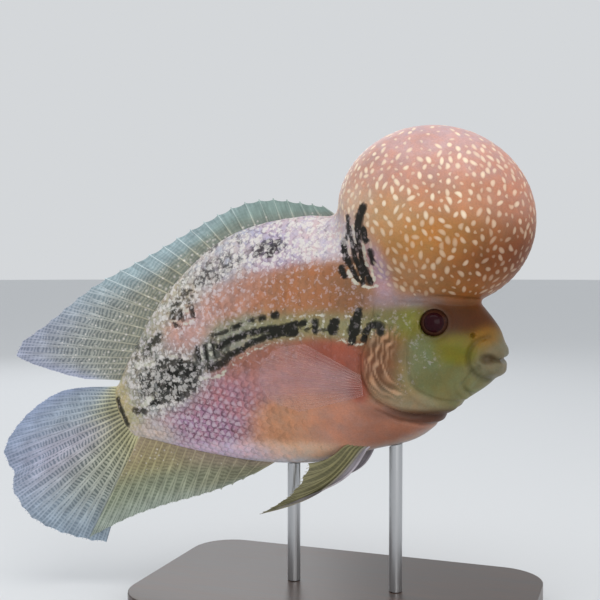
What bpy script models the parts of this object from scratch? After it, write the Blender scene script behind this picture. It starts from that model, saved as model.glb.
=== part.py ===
"""A flowerhorn cichlid as a still, life-size museum model on a plain display stand.

The fish faces +X. Its shape is drawn on one upright sheet, x forward and z up in millimetres,
and its width is laid off to both sides of that sheet. The sheet then bends sideways towards the tail.
"""

import math

import bmesh
import bpy
from mathutils import Vector

MM = 0.001

# Place of the fish over the stand
AXIS_HEIGHT = 152.0       # the drawing's z = 0 above the table
STAND_X = 20.0            # the drawing's x over the middle of the base
GAP = 0.3                 # air left between pieces that touch
FAR = 150.0               # a distance from the drawing's origin past all of the body

# Sideways bend of the body: none ahead of BEND_START, then a parabola towards -Y
BEND_START = 20.0
BEND = 0.00095

# Outline of the body without fins or hump, from the tail's root to the snout: matching points
# of the back and the belly, which are stations 0 to 9, and the half width of the section between
BACK = [(-96, -45), (-86.5, -25), (-69, 4), (-38, 31.5), (0, 41.5),
        (34, 39.5), (62, 27), (82.5, 7), (97, -9.5), (101, -19.5)]
BELLY = [(-85, -71.5), (-70, -74.5), (-48, -78.5), (-20, -81.5), (10, -80),
         (38, -72), (61, -64.5), (79, -48.5), (93, -38.5), (98.6, -32)]
HALF_WIDTH = [3.2, 7.5, 12.5, 18.5, 22.5, 24.5, 24.0, 18.5, 11.5, 6.0]
LAST_STATION = len(BACK) - 1
SHOULDER_POWER = 0.92     # under 1 makes the flanks of a section fuller than an ellipse
BACK_NARROWER = 0.22      # how much narrower a section is towards the back
BELLY_WIDER = 0.04
SECTION_SIDES = 36
TAIL_CUT = 1.15           # station where the peduncle leaves the torso
TORSO_END = 8.0           # stations where the uncut torso ends and the uncut head starts
HEAD_START = 4.6
TORSO_RINGS = 30
HEAD_RINGS = 24
TAIL_RINGS = 6

# Rear edge of the gill cover, on the drawing, from above the nape to ahead of the throat
GILL_EDGE = [(47, 75), (46.5, 20), (44, -10), (39.5, -25), (40.5, -36), (46, -44.5),
             (57, -49), (70, -50.3), (84, -50.5), (100, -60)]
GILL_FLARE = 1.6          # how far the gill cover stands proud of the shoulder
GILL_FLARE_REACH = 13.0
CHEEK_EDGE = [(66, -2), (60, -16), (59, -28), (62, -38.5), (72, -44.5), (82, -46)]
CHEEK_GROOVE = 0.9
CHEEK_GROOVE_REACH = 3.0

# Hump on the forehead
HUMP_CENTRE = (67.3, 0.0, 40.0)
HUMP_HALF = (47.0, 35.0, 43.0)
HUMP_LEAN = 0.06          # the crown leans back by this share of its height
HUMP_SEAT = 3.4           # station where the body under the hump starts

# Eyes
EYE_AT = (71.0, -9.0)
EYE_RADIUS = 6.6
EYE_SUNK = 2.9            # its middle lies this far under the cheek
ORBIT_RIM = 1.2           # width of the raised rim round it
RIM_SUNK = 2.3
RIM_DEPTH = 3.2

# Mouth and nostrils
LIP_CORNER = (88.5, 12.0, -27.2)
UPPER_LIP = (98.9, -22.2, 3.5)     # front of its middle line, height and radius
LOWER_LIP = (98.0, -30.5, 3.5)
LIP_CORNER_SHARE = 0.55        # radius at the corners, as a share of that at the front
SLIT_AT = (99.0, 0.0, -26.4)   # between the lips
SLIT_HALF = (8.5, 10.0, 0.7)
GAPE_AT = (95.0, 10.8, -26.0)  # where the lips part most, on each side
GAPE_HALF = (2.8, 3.5, 1.7)
NOSTRIL_AT = (88.0, -14.5)     # x and z
NOSTRIL_RADIUS = 1.0

# Fins: thickness of the membrane, and of a ray at its root and its tip
MEMBRANE = 0.55
RAY_ROOT = 1.7
RAY_TIP = 1.1
FIN_GAP = 0.4             # from the back, belly or tail's root to a fin that stands on it
FIN_SEAT = 1.3            # from the skin to the middle of a ray's root, on fins that lie along it

# Fin outlines on the drawing. Each edge runs from the first ray's tip to the last ray's tip
DORSAL_EDGE = [(12, 46), (-2, 48.5), (-15, 50), (-32, 47.5), (-55, 36.5), (-81, 21.5),
               (-107, 7), (-130, -12), (-147, -28), (-128, -37.5), (-112, -41.5)]
DORSAL_SPINES = 17
DORSAL_RAYS = 11
DORSAL_BASE = (4.48, 0.14)    # stations of the first and last ray on the back
DORSAL_CROWDING = (0.92, 1.12)   # powers that set the roots and the tips closer at one end
ANAL_EDGE = [(-24, -88), (-39, -95.5), (-54, -101), (-70, -106), (-87, -112.5), (-100, -119),
             (-110, -124.5)]
ANAL_RAYS = 16
ANAL_BASE = (3.18, 0.16)
CAUDAL_EDGE = [(-112, -46.5), (-126, -48.5), (-138, -55), (-149, -66), (-156, -81), (-149, -94.5),
               (-145, -103), (-139, -113), (-128, -121.5), (-114, -127), (-104, -128)]
CAUDAL_RAYS = 19
PECTORAL_EDGE = [(12, 29, -19), (-1, 33, -22), (-7.5, 35.5, -33), (-3, 33.5, -45), (10, 29.5, -51)]
PECTORAL_ROOT = ((36.8, -32.5), (37.5, -43.5))
PECTORAL_RAYS = 12
PELVIC_EDGE = [(18, 17.5, -89.5), (-12, 21, -102.5), (-2, 20.8, -96), (4.5, 20.6, -90),
               (8.5, 20, -83.5), (11, 19, -77)]
PELVIC_ROOT = ((36.5, 8.5), (27.0, 12.5))    # x and side of the first and the last ray

# Stand
BASE_SIZE = (190.0, 112.0, 12.0)
BASE_CORNER = 22.0
BASE_EDGE = 1.6
ROD_RADIUS = 3.2
ROD_SIDES = 24
ROD_X = (49.0, -3.0)
ROD_TOP_UNCUT = -60.0     # the drawing's z of a rod's top before the belly cuts it


def smooth_point(points, t):
    """The point at t on a smooth curve that passes through points 0, 1, 2 and so on of the list."""
    last = len(points) - 1
    i = min(max(int(math.floor(t)), 0), last - 1)
    f = t - i
    near = [Vector(points[min(max(i + k, 0), last)]) for k in (-1, 0, 1, 2)]
    if i == 0:
        near[0] = 2 * near[1] - near[2]
    if i == last - 1:
        near[3] = 2 * near[2] - near[1]
    a, b, c, d = near
    return 0.5 * (2 * b + (c - a) * f + (2 * a - 5 * b + 4 * c - d) * f * f
                  + (3 * b - a - 3 * c + d) * f ** 3)


def along(points, share, steps=120):
    """The point at a share of the length of the smooth curve through points."""
    last = len(points) - 1
    line = [smooth_point(points, last * k / steps) for k in range(steps + 1)]
    lengths = [0.0]
    for a, b in zip(line, line[1:]):
        lengths.append(lengths[-1] + (b - a).length)
    want = min(max(share, 0.0), 1.0) * lengths[-1]
    for k in range(steps):
        if lengths[k + 1] >= want:
            span = lengths[k + 1] - lengths[k]
            return line[k].lerp(line[k + 1], (want - lengths[k]) / span)
    return line[-1]


def ease(value):
    """0 below 0, 1 above 1, and smooth between."""
    value = min(max(value, 0.0), 1.0)
    return value * value * (3 - 2 * value)


def bend(x):
    return -BEND * max(0.0, BEND_START - x) ** 2


def placed(x, y, z):
    """A point of the drawing, y to the side of its sheet, in metres in the part's frame."""
    return Vector((x - STAND_X, y + bend(x), z + AXIS_HEIGHT)) * MM


def half_width(t):
    """Half width of the body at station t."""
    return smooth_point([(w, 0.0) for w in HALF_WIDTH], t)[0]


def section_point(t, angle, grow=0.0):
    """Point of the body's section at station t, as x, y and z on the drawing.
    The angle is 0 on the back and half a turn on the belly."""
    top, bottom = smooth_point(BACK, t), smooth_point(BELLY, t)
    axis = (top - bottom) / 2
    reach = axis + axis.normalized() * grow
    up = math.cos(angle)
    side = math.sin(angle)
    fullness = 1.0 - BACK_NARROWER * ease(up) + BELLY_WIDER * ease(-up)
    width = (half_width(t) + grow) * fullness
    middle = (top + bottom) / 2
    across = math.copysign(abs(side) ** SHOULDER_POWER, side) * width
    return Vector((middle.x + reach.x * up, across, middle.y + reach.y * up))


def distance_to(points, x, z, steps=60):
    """Distance on the drawing from a point to the smooth curve through points."""
    last = len(points) - 1
    here = Vector((x, z))
    return min((smooth_point(points, last * k / steps) - here).length for k in range(steps + 1))


def head_swell(x, z):
    """How far the head's surface stands out from the plain section: the gill cover's rear edge
    flares, and a groove marks the cheek's edge."""
    flare = GILL_FLARE * ease(1 - distance_to(GILL_EDGE, x, z) / GILL_FLARE_REACH)
    groove = CHEEK_GROOVE * ease(1 - distance_to(CHEEK_EDGE, x, z) / CHEEK_GROOVE_REACH)
    return flare - groove


def body_ring(t, grow=0.0, swell=None):
    """One ring of the body at station t, in metres."""
    ring = []
    for k in range(SECTION_SIDES):
        angle = 2 * math.pi * k / SECTION_SIDES
        point = section_point(t, angle, grow)
        if swell:
            out = swell(point.x, point.z) * abs(math.sin(angle))
            point.y += math.copysign(out, point.y)
        ring.append(placed(*point))
    return ring


def rings_between(start, end, count, grow=0.0, swell=None):
    return [body_ring(start + (end - start) * k / count, grow, swell) for k in range(count + 1)]


def material(name, colour, roughness, metallic=0.0):
    made = bpy.data.materials.new(name)
    made.use_nodes = True
    shader = made.node_tree.nodes["Principled BSDF"]
    shader.inputs["Base Color"].default_value = (*colour, 1.0)
    shader.inputs["Roughness"].default_value = roughness
    shader.inputs["Metallic"].default_value = metallic
    return made


def new_object(name, mesh, finish, home):
    made = bpy.data.objects.new(name, mesh)
    home.objects.link(made)
    if finish:
        mesh.materials.append(finish)
    return made


def mesh_of(name, points, faces):
    mesh = bpy.data.meshes.new(name)
    mesh.from_pydata([tuple(p) for p in points], [], faces)
    mesh.validate()
    return mesh


def loft(name, rings, finish, home):
    """A closed solid through rings of equal size, each end shut by a fan of triangles."""
    sides = len(rings[0])
    points = [p for ring in rings for p in ring]
    faces = []
    for r in range(len(rings) - 1):
        for k in range(sides):
            n = (k + 1) % sides
            a, b = r * sides + k, r * sides + n
            faces.append((a, b, b + sides, a + sides))
    for first in (0, (len(rings) - 1) * sides):
        centre = len(points)
        points.append(sum(points[first:first + sides], Vector()) / sides)
        for k in range(sides):
            faces.append((centre, first + k, first + (k + 1) % sides))
    mesh = mesh_of(name, points, faces)
    face_outwards(mesh)
    return new_object(name, mesh, finish, home)


def face_outwards(mesh):
    work = bmesh.new()
    work.from_mesh(mesh)
    bmesh.ops.recalc_face_normals(work, faces=work.faces)
    if work.calc_volume(signed=True) < 0:
        bmesh.ops.reverse_faces(work, faces=work.faces)
    work.to_mesh(mesh)
    work.free()


def largest_body(mesh):
    """Removes every loose scrap of a mesh but its largest closed surface."""
    work = bmesh.new()
    work.from_mesh(mesh)
    left = set(work.verts)
    groups = []
    while left:
        group, queue = set(), [left.pop()]
        while queue:
            vertex = queue.pop()
            group.add(vertex)
            for edge in vertex.link_edges:
                other = edge.other_vert(vertex)
                if other in left:
                    left.discard(other)
                    queue.append(other)
        groups.append(group)
    groups.sort(key=len, reverse=True)
    scraps = [vertex for group in groups[1:] for vertex in group]
    bmesh.ops.delete(work, geom=scraps, context="VERTS")
    work.to_mesh(mesh)
    work.free()


def boolean(target, others, operation):
    """Applies one Boolean of several closed meshes to the target, then removes them."""
    group = bpy.data.collections.new("operands")
    for other in others:
        for home in list(other.users_collection):
            home.objects.unlink(other)
        group.objects.link(other)
    bpy.context.scene.collection.children.link(group)
    step = target.modifiers.new("join", "BOOLEAN")
    step.operation = operation
    step.solver = "EXACT"
    step.operand_type = "COLLECTION"
    step.collection = group
    bpy.context.view_layer.update()
    graph = bpy.context.evaluated_depsgraph_get()
    result = bpy.data.meshes.new_from_object(target.evaluated_get(graph))
    target.modifiers.clear()
    finish = target.data.materials[0] if target.data.materials else None
    target.data = result
    result.materials.clear()
    if finish:
        result.materials.append(finish)
    for other in others:
        bpy.data.objects.remove(other)
    bpy.data.collections.remove(group)
    largest_body(target.data)


def ellipsoid(name, centre, half, home, finish=None, segments=32, rings=20):
    """A closed ellipsoid, its centre and half sizes in millimetres on the drawing."""
    work = bmesh.new()
    bmesh.ops.create_uvsphere(work, u_segments=segments, v_segments=rings, radius=1.0)
    for vertex in work.verts:
        local = vertex.co.copy()
        vertex.co = placed(*(centre[k] + half[k] * local[k] for k in range(3)))
    mesh = bpy.data.meshes.new(name)
    work.to_mesh(mesh)
    work.free()
    return new_object(name, mesh, finish, home)


def slab(name, outline, home):
    """An outline on the drawing, extruded to both sides past the body: a cutter."""
    count = len(outline)
    points = [placed_flat(x, y, z) for y in (-FAR, FAR) for x, z in outline]
    faces = [tuple(range(count)), tuple(reversed(range(count, 2 * count)))]
    for k in range(count):
        n = (k + 1) % count
        faces.append((k, k + count, n + count, n))
    mesh = mesh_of(name, points, faces)
    face_outwards(mesh)
    return new_object(name, mesh, None, home)


def placed_flat(x, y, z):
    """As placed, without the sideways bend."""
    return Vector((x - STAND_X, y, z + AXIS_HEIGHT)) * MM


def gill_line(offset, steps=44):
    """The gill cover's rear edge as points, moved ahead by offset."""
    last = len(GILL_EDGE) - 1
    line = [smooth_point(GILL_EDGE, last * k / steps) for k in range(steps + 1)]
    moved = []
    for k, point in enumerate(line):
        run = line[min(k + 1, steps)] - line[max(k - 1, 0)]
        normal = Vector((-run.y, run.x)).normalized()
        moved.append(tuple(point + normal * offset))
    return moved


def make_peduncle(home, finish):
    loft("caudal_peduncle", rings_between(0.0, TAIL_CUT, TAIL_RINGS), finish, home)


def make_torso(home, finish):
    """From the tail's root to the throat, without what lies ahead of the gill cover's edge."""
    rings = rings_between(TAIL_CUT, TORSO_END, TORSO_RINGS)
    top, bottom = smooth_point(BACK, TAIL_CUT), smooth_point(BELLY, TAIL_CUT)
    run = top - bottom
    ahead = Vector((run.y, -run.x)).normalized() * GAP * MM
    rings[0] = [p + Vector((ahead.x, 0, ahead.y)) for p in rings[0]]
    torso = loft("torso", rings, finish, home)
    line = gill_line(-GAP / 2)
    behind = [(-FAR, FAR), (line[0][0], FAR), *line, (line[-1][0], -FAR), (-FAR, -FAR)]
    boolean(torso, [slab("behind_gill", behind, home)], "INTERSECT")


def lip(name, sizes, home):
    """One lip: a tube round the snout from corner to corner of the mouth, as a mesh."""
    front, height, radius = sizes
    corner_x, corner_y, corner_z = LIP_CORNER
    curve = bpy.data.curves.new(name, "CURVE")
    curve.dimensions = "3D"
    curve.bevel_depth = radius * MM
    curve.bevel_resolution = 3
    curve.use_fill_caps = True
    steps = 16
    line = curve.splines.new("POLY")
    line.points.add(steps)
    for k in range(steps + 1):
        turn = math.pi * (k / steps - 0.5)
        corner = abs(math.sin(turn)) ** 4
        x = corner_x + (front - corner_x) * math.cos(turn) ** 0.8
        z = height + (corner_z - height) * corner
        line.points[k].co = (*placed(x, corner_y * math.sin(turn), z), 1.0)
        line.points[k].radius = 1.0 + (LIP_CORNER_SHARE - 1.0) * corner
    return curve_to_mesh(name, curve, home)


def curve_to_mesh(name, curve, home):
    """The curve's tube as a closed mesh object, its caps welded on."""
    drawn = new_object(name, curve, None, home)
    bpy.context.view_layer.update()
    graph = bpy.context.evaluated_depsgraph_get()
    mesh = bpy.data.meshes.new_from_object(drawn.evaluated_get(graph))
    work = bmesh.new()
    work.from_mesh(mesh)
    bmesh.ops.remove_doubles(work, verts=work.verts, dist=1e-6)
    work.to_mesh(mesh)
    work.free()
    bpy.data.objects.remove(drawn)
    face_outwards(mesh)
    return new_object(name, mesh, None, home)


def surface_y(x, z):
    """Half width of the plain body at a point of the drawing."""
    best = 0.0
    steps = 180
    for k in range(steps + 1):
        t = LAST_STATION * k / steps
        top, bottom = smooth_point(BACK, t), smooth_point(BELLY, t)
        axis = (top - bottom) / 2
        away = Vector((x, z)) - (top + bottom) / 2
        up = away.dot(axis) / axis.length_squared
        off = (away - axis * up).length
        if off < 0.6 and abs(up) < 1:
            best = max(best, section_point(t, math.acos(up)).y)
    return best


def eye_centre(side):
    """Middle of the eyeball, side being -1 for the right and +1 for the left."""
    x, z = EYE_AT
    return x, side * (surface_y(x, z) - EYE_SUNK), z


def make_head(home, finish):
    """Ahead of the gill cover's edge: cheeks, gill covers, lips, mouth, nostrils and sockets."""
    rings = rings_between(HEAD_START, LAST_STATION, HEAD_RINGS, swell=head_swell)
    head = loft("head", rings, finish, home)
    line = gill_line(GAP / 2)
    ahead = [(FAR, FAR), (FAR, -FAR), (line[-1][0], -FAR), *reversed(line), (line[0][0], FAR)]
    boolean(head, [slab("ahead_of_gill", ahead, home)], "INTERSECT")
    eye_x, eye_z = EYE_AT
    rim_y = surface_y(eye_x, eye_z) - RIM_SUNK
    rim_half = (EYE_RADIUS + ORBIT_RIM, RIM_DEPTH, EYE_RADIUS + ORBIT_RIM)
    rims = [ellipsoid("rim", (eye_x, side * rim_y, eye_z), rim_half, home, None, 24, 14)
            for side in (-1, 1)]
    boolean(head, [lip("upper_lip", UPPER_LIP, home), lip("lower_lip", LOWER_LIP, home), *rims],
            "UNION")
    gape_x, gape_y, gape_z = GAPE_AT
    nose_x, nose_z = NOSTRIL_AT
    cuts = [ellipsoid("slit", SLIT_AT, SLIT_HALF, home, None, 24, 10)]
    for side in (-1, 1):
        grown = EYE_RADIUS + GAP
        cuts.append(ellipsoid("socket", eye_centre(side), (grown,) * 3, home, None, 24, 16))
        cuts.append(ellipsoid("gape", (gape_x, side * gape_y, gape_z), GAPE_HALF, home, None, 16, 10))
        nose = (nose_x, side * surface_y(nose_x, nose_z), nose_z)
        cuts.append(ellipsoid("nostril", nose, (NOSTRIL_RADIUS,) * 3, home, None, 10, 6))
    boolean(head, cuts, "DIFFERENCE")


def make_hump(home, finish):
    """The hump: an ellipsoid that leans back, seated on the nape and forehead."""
    hump = ellipsoid("nuchal_hump", HUMP_CENTRE, HUMP_HALF, home, finish, 40, 26)
    for vertex in hump.data.vertices:
        rise = vertex.co.z / MM - AXIS_HEIGHT - HUMP_CENTRE[2]
        vertex.co.x -= HUMP_LEAN * rise * MM
    under = rings_between(HUMP_SEAT, LAST_STATION, HEAD_RINGS, GAP, head_swell)
    boolean(hump, [loft("seat", under, None, home)], "DIFFERENCE")


def make_eye(name, side, home, finish):
    ellipsoid(name, eye_centre(side), (EYE_RADIUS,) * 3, home, finish, 20, 12)


def make_fin(name, roots, tips, home, finish, rows=6, notch=0.0, bow=0.0, wave=None):
    """A fin with its rays as ridges raised in the membrane.
    Roots and tips are the rays' ends in millimetres on the drawing, y to the side. Between two rays
    runs a column of thin membrane that ends short of their tips by notch. Rays bow by that share
    of their length, and wave(across, out) moves a point sideways."""
    columns = []
    for i, (root, tip) in enumerate(zip(roots, tips)):
        columns.append((Vector(root), Vector(tip), True))
        if i + 1 < len(roots):
            low = (Vector(root) + Vector(roots[i + 1])) / 2
            high = (Vector(tip) + Vector(tips[i + 1])) / 2
            columns.append((low, high + (low - high).normalized() * notch, False))
    work = bmesh.new()
    layer = work.verts.layers.deform.verify()
    grid = []
    for c, (low, high, is_ray) in enumerate(columns):
        line = []
        across = c / (len(columns) - 1)
        run = high - low
        lift = Vector((run.z, 0.0, -run.x)) * bow
        for r in range(rows + 1):
            out = r / rows
            point = low.lerp(high, out) + lift * math.sin(math.pi * out)
            if wave:
                point.y += wave(across, out)
            vertex = work.verts.new(placed(*point))
            ray = RAY_ROOT + (RAY_TIP - RAY_ROOT) * out
            vertex[layer][0] = (ray if is_ray else MEMBRANE) / RAY_ROOT
            line.append(vertex)
        grid.append(line)
    for a, b in zip(grid, grid[1:]):
        for r in range(rows):
            work.faces.new((a[r], b[r], b[r + 1]))
            work.faces.new((a[r], b[r + 1], a[r + 1]))
    mesh = bpy.data.meshes.new(name)
    work.to_mesh(mesh)
    work.free()
    fin = new_object(name, mesh, finish, home)
    fin.vertex_groups.new(name="thickness")
    shell = fin.modifiers.new("thickness", "SOLIDIFY")
    shell.thickness = RAY_ROOT * MM
    shell.offset = 0.0
    shell.vertex_group = "thickness"


def edge_out(line, t, other):
    """Point of the back or belly line at station t, held off by FIN_GAP on the side away from other."""
    here = smooth_point(line, t)
    away = (here - smooth_point(other, t)).normalized()
    return here + away * FIN_GAP


def make_dorsal_fin(home, finish):
    """Short spines ahead, then long soft rays that trail to a point behind."""
    count = DORSAL_SPINES + DORSAL_RAYS
    first, last = DORSAL_BASE
    root_power, tip_power = DORSAL_CROWDING
    roots, tips = [], []
    for i in range(count):
        share = i / (count - 1)
        root = edge_out(BACK, first + (last - first) * share ** root_power, BELLY)
        roots.append((root.x, 0.0, root.y))
        tip = along(DORSAL_EDGE, share ** tip_power)
        tips.append((tip.x, 0.0, tip.y))
    make_fin("dorsal_fin", roots, tips, home, finish, rows=6, notch=0.9,
             wave=lambda across, out: 3.0 * out * math.sin(5.5 * across) * across)


def make_anal_fin(home, finish):
    first, last = ANAL_BASE
    roots, tips = [], []
    for i in range(ANAL_RAYS):
        share = i / (ANAL_RAYS - 1)
        root = edge_out(BELLY, first + (last - first) * share, BACK)
        roots.append((root.x, 0.0, root.y))
        tip = along(ANAL_EDGE, share)
        tips.append((tip.x, 0.0, tip.y))
    make_fin("anal_fin", roots, tips, home, finish, rows=6, notch=0.7,
             wave=lambda across, out: -out * (3.4 * across ** 2 + 1.2 * math.sin(5 * across)))


def caudal_wave(across, out):
    """The fan folds below its middle: the upper lobe swings left, the lower one comes forward
    to the right, and the last rays turn back to pass behind the anal fin."""
    lobes = 3.0 - 7.5 * ease((across - 0.5) / 0.12) + 7.0 * ease((across - 0.72) / 0.28)
    return out ** 1.3 * (lobes + 1.2 * math.sin(9 * across))


def make_caudal_fin(home, finish):
    """A fan of rays from the rear face of the tail's root."""
    top, bottom = Vector(BACK[0]), Vector(BELLY[0])
    run = top - bottom
    behind = Vector((-run.y, run.x)).normalized() * FIN_GAP
    roots, tips = [], []
    for i in range(CAUDAL_RAYS):
        share = i / (CAUDAL_RAYS - 1)
        root = top.lerp(bottom, 0.03 + 0.94 * share) + behind
        roots.append((root.x, 0.0, root.y))
        tip = along(CAUDAL_EDGE, share)
        tips.append((tip.x, 0.0, tip.y))
    make_fin("caudal_fin", roots, tips, home, finish, rows=8, notch=0.8, wave=caudal_wave)


def make_pectoral_fin(name, side, home, finish):
    (x0, z0), (x1, z1) = PECTORAL_ROOT
    roots, tips = [], []
    for i in range(PECTORAL_RAYS):
        share = i / (PECTORAL_RAYS - 1)
        x, z = x0 + (x1 - x0) * share, z0 + (z1 - z0) * share
        roots.append((x, side * (surface_y(x, z) + FIN_SEAT), z))
        tip = along(PECTORAL_EDGE, share)
        tips.append((tip.x, side * tip.y, tip.z))
    make_fin(name, roots, tips, home, finish, rows=5, notch=0.6)


def belly_z(x, y):
    """Height of the belly's surface below a point of the drawing, y to the side."""
    t = 0.0
    while (smooth_point(BACK, t).x + smooth_point(BELLY, t).x) / 2 < x:
        t += 0.02
    width = half_width(t) * (1.0 + BELLY_WIDER)
    low = smooth_point(BELLY, t).y
    middle = (smooth_point(BACK, t).y + low) / 2
    return middle - (middle - low) * math.sqrt(max(0.0, 1 - (abs(y) / width) ** (2 / SHOULDER_POWER)))


def make_pelvic_fin(name, side, home, finish):
    (x0, y0), (x1, y1) = PELVIC_ROOT
    count = len(PELVIC_EDGE)
    roots, tips = [], []
    for i in range(count):
        share = i / (count - 1)
        x, y = x0 + (x1 - x0) * share, y0 + (y1 - y0) * share
        roots.append((x, side * y, belly_z(x, y) - FIN_SEAT))
        tip_x, tip_y, tip_z = PELVIC_EDGE[i]
        tips.append((tip_x, side * tip_y, tip_z))
    make_fin(name, roots, tips, home, finish, rows=7, notch=1.5, bow=-0.11)


def make_stand_base(home, finish):
    """A flat plate with round corners and eased edges."""
    long_side, wide_side, thick = BASE_SIZE
    outline = []
    steps = 8
    for cx, cy, start in ((1, 1, 0), (-1, 1, 90), (-1, -1, 180), (1, -1, 270)):
        for k in range(steps + 1):
            angle = math.radians(start + 90 * k / steps)
            outline.append((cx * (long_side / 2 - BASE_CORNER) + BASE_CORNER * math.cos(angle),
                            cy * (wide_side / 2 - BASE_CORNER) + BASE_CORNER * math.sin(angle)))
    curve = bpy.data.curves.new("stand_base", "CURVE")
    curve.dimensions = "2D"
    curve.fill_mode = "BOTH"
    curve.extrude = thick / 2 * MM
    line = curve.splines.new("POLY")
    line.points.add(len(outline) - 1)
    line.use_cyclic_u = True
    for point, (x, y) in zip(line.points, outline):
        point.co = (x * MM, y * MM, 0.0, 1.0)
    base = curve_to_mesh("stand_base", curve, home)
    base.location.z = thick / 2 * MM
    base.data.materials.append(finish)
    edge = base.modifiers.new("eased edges", "BEVEL")
    edge.width = BASE_EDGE * MM
    edge.segments = 2
    edge.limit_method = "ANGLE"
    edge.angle_limit = math.radians(50)


def make_stand_rod(name, x, home, finish):
    """A rod from the base to the belly, its head cut to the belly's curve."""
    foot = BASE_SIZE[2] + GAP
    head = AXIS_HEIGHT + ROD_TOP_UNCUT
    work = bmesh.new()
    bmesh.ops.create_cone(work, cap_ends=True, segments=ROD_SIDES, radius1=ROD_RADIUS * MM,
                          radius2=ROD_RADIUS * MM, depth=(head - foot) * MM)
    centre = Vector(((x - STAND_X) * MM, bend(x) * MM, (head + foot) / 2 * MM))
    bmesh.ops.translate(work, vec=centre, verts=work.verts)
    mesh = bpy.data.meshes.new(name)
    work.to_mesh(mesh)
    work.free()
    rod = new_object(name, mesh, finish, home)
    belly = loft("belly", rings_between(TAIL_CUT, TORSO_END, TORSO_RINGS, GAP), None, home)
    boolean(rod, [belly], "DIFFERENCE")


def main():
    for old in list(bpy.data.objects):
        bpy.data.objects.remove(old)
    fish = bpy.data.collections.new("flowerhorn cichlid")
    bpy.context.scene.collection.children.link(fish)

    flank = material("flank skin", (0.62, 0.32, 0.20), 0.35)
    face = material("face skin", (0.42, 0.40, 0.12), 0.35)
    dome = material("hump skin", (0.72, 0.30, 0.20), 0.35)
    iris = material("eye", (0.08, 0.01, 0.01), 0.08)
    web = material("fin membrane", (0.62, 0.63, 0.58), 0.4)
    wood = material("stained wood", (0.06, 0.035, 0.02), 0.45)
    steel = material("steel rod", (0.62, 0.62, 0.62), 0.3, 1.0)

    make_peduncle(fish, flank)
    make_torso(fish, flank)
    make_head(fish, face)
    make_hump(fish, dome)
    for name, side in (("eye_right", -1), ("eye_left", 1)):
        make_eye(name, side, fish, iris)
    make_dorsal_fin(fish, web)
    make_anal_fin(fish, web)
    make_caudal_fin(fish, web)
    for word, side in (("right", -1), ("left", 1)):
        make_pectoral_fin("pectoral_fin_" + word, side, fish, web)
        make_pelvic_fin("pelvic_fin_" + word, side, fish, web)
    make_stand_base(fish, wood)
    for name, x in zip(("stand_rod_front", "stand_rod_rear"), ROD_X):
        make_stand_rod(name, x, fish, steel)

    for node in fish.objects:
        node.data.shade_smooth()
        node.data.set_sharp_from_angle(angle=math.radians(35))


main()
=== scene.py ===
"""Life-size model of a flowerhorn cichlid: skin, scales, fins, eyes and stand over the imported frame."""
import math

import bmesh
import bpy
import numpy as np
from bpy.props import FloatProperty, FloatVectorProperty, IntProperty, PointerProperty
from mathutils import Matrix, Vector
from mathutils.bvhtree import BVHTree


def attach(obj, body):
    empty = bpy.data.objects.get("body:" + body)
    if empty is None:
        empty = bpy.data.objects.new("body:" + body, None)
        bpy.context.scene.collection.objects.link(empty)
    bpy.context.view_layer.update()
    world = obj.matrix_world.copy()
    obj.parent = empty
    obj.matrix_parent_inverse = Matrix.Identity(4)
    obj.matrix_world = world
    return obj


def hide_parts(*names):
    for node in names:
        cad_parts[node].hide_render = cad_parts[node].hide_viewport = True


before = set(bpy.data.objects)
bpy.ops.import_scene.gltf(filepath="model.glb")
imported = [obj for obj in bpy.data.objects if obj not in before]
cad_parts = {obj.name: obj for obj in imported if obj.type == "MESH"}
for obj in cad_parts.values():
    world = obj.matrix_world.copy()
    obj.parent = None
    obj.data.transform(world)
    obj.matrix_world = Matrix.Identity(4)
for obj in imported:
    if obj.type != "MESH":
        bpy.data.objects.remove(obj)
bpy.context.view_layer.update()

bl_info = {
    "name": "Flowerhorn cichlid display model",
    "version": (1, 0, 0),
    "blender": (4, 5, 0),
    "location": "View3D > Sidebar > Cichlid",
    "description": "Builds the skin, scales, fins, eyes and stand of a life-size fish model",
    "category": "Object",
}

MM = 0.001
SIDES = (("right", -1), ("left", 1))

# The drawing that the solids were made from, in millimetres: x to the snout, y to the left, z up.
AXIS_HEIGHT = 152.0
STAND_X = 20.0
BEND_START = 20.0
BEND = 0.00095
BACK = [(-96, -45), (-86.5, -25), (-69, 4), (-38, 31.5), (0, 41.5),
        (34, 39.5), (62, 27), (82.5, 7), (97, -9.5), (101, -19.5)]
BELLY = [(-85, -71.5), (-70, -74.5), (-48, -78.5), (-20, -81.5), (10, -80),
         (38, -72), (61, -64.5), (79, -48.5), (93, -38.5), (98.6, -32)]
HALF_WIDTH = [3.2, 7.5, 12.5, 18.5, 22.5, 24.5, 24.0, 18.5, 11.5, 6.0]
LAST_STATION = len(BACK) - 1
FINE_STATIONS = np.linspace(0, LAST_STATION, 1500)
SHOULDER_POWER = 0.92
BACK_NARROWER = 0.22
BELLY_WIDER = 0.04

GILL_EDGE = [(47, 75), (46.5, 20), (44, -10), (39.5, -25), (40.5, -36), (46, -44.5),
             (57, -49), (70, -50.3), (84, -50.5), (100, -60)]
GILL_FLARE = 1.6
GILL_FLARE_REACH = 13.0
CHEEK_EDGE = [(66, -2), (60, -16), (59, -28), (62, -38.5), (72, -44.5), (82, -46)]
HUMP_CENTRE = (67.3, 0.0, 40.0)
HUMP_HALF = (47.0, 35.0, 43.0)
HUMP_LEAN = 0.06
EYE_AT = (71.0, -9.0)
EYE_RADIUS = 6.6
EYE_SUNK = 2.9
LIP_CORNER = (88.5, 12.0, -27.2)
UPPER_LIP = (98.9, -22.2, 3.5)
LOWER_LIP = (98.0, -30.5, 3.5)
LIP_CORNER_SHARE = 0.55
NOSTRIL_AT = (88.0, -14.5)

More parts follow.
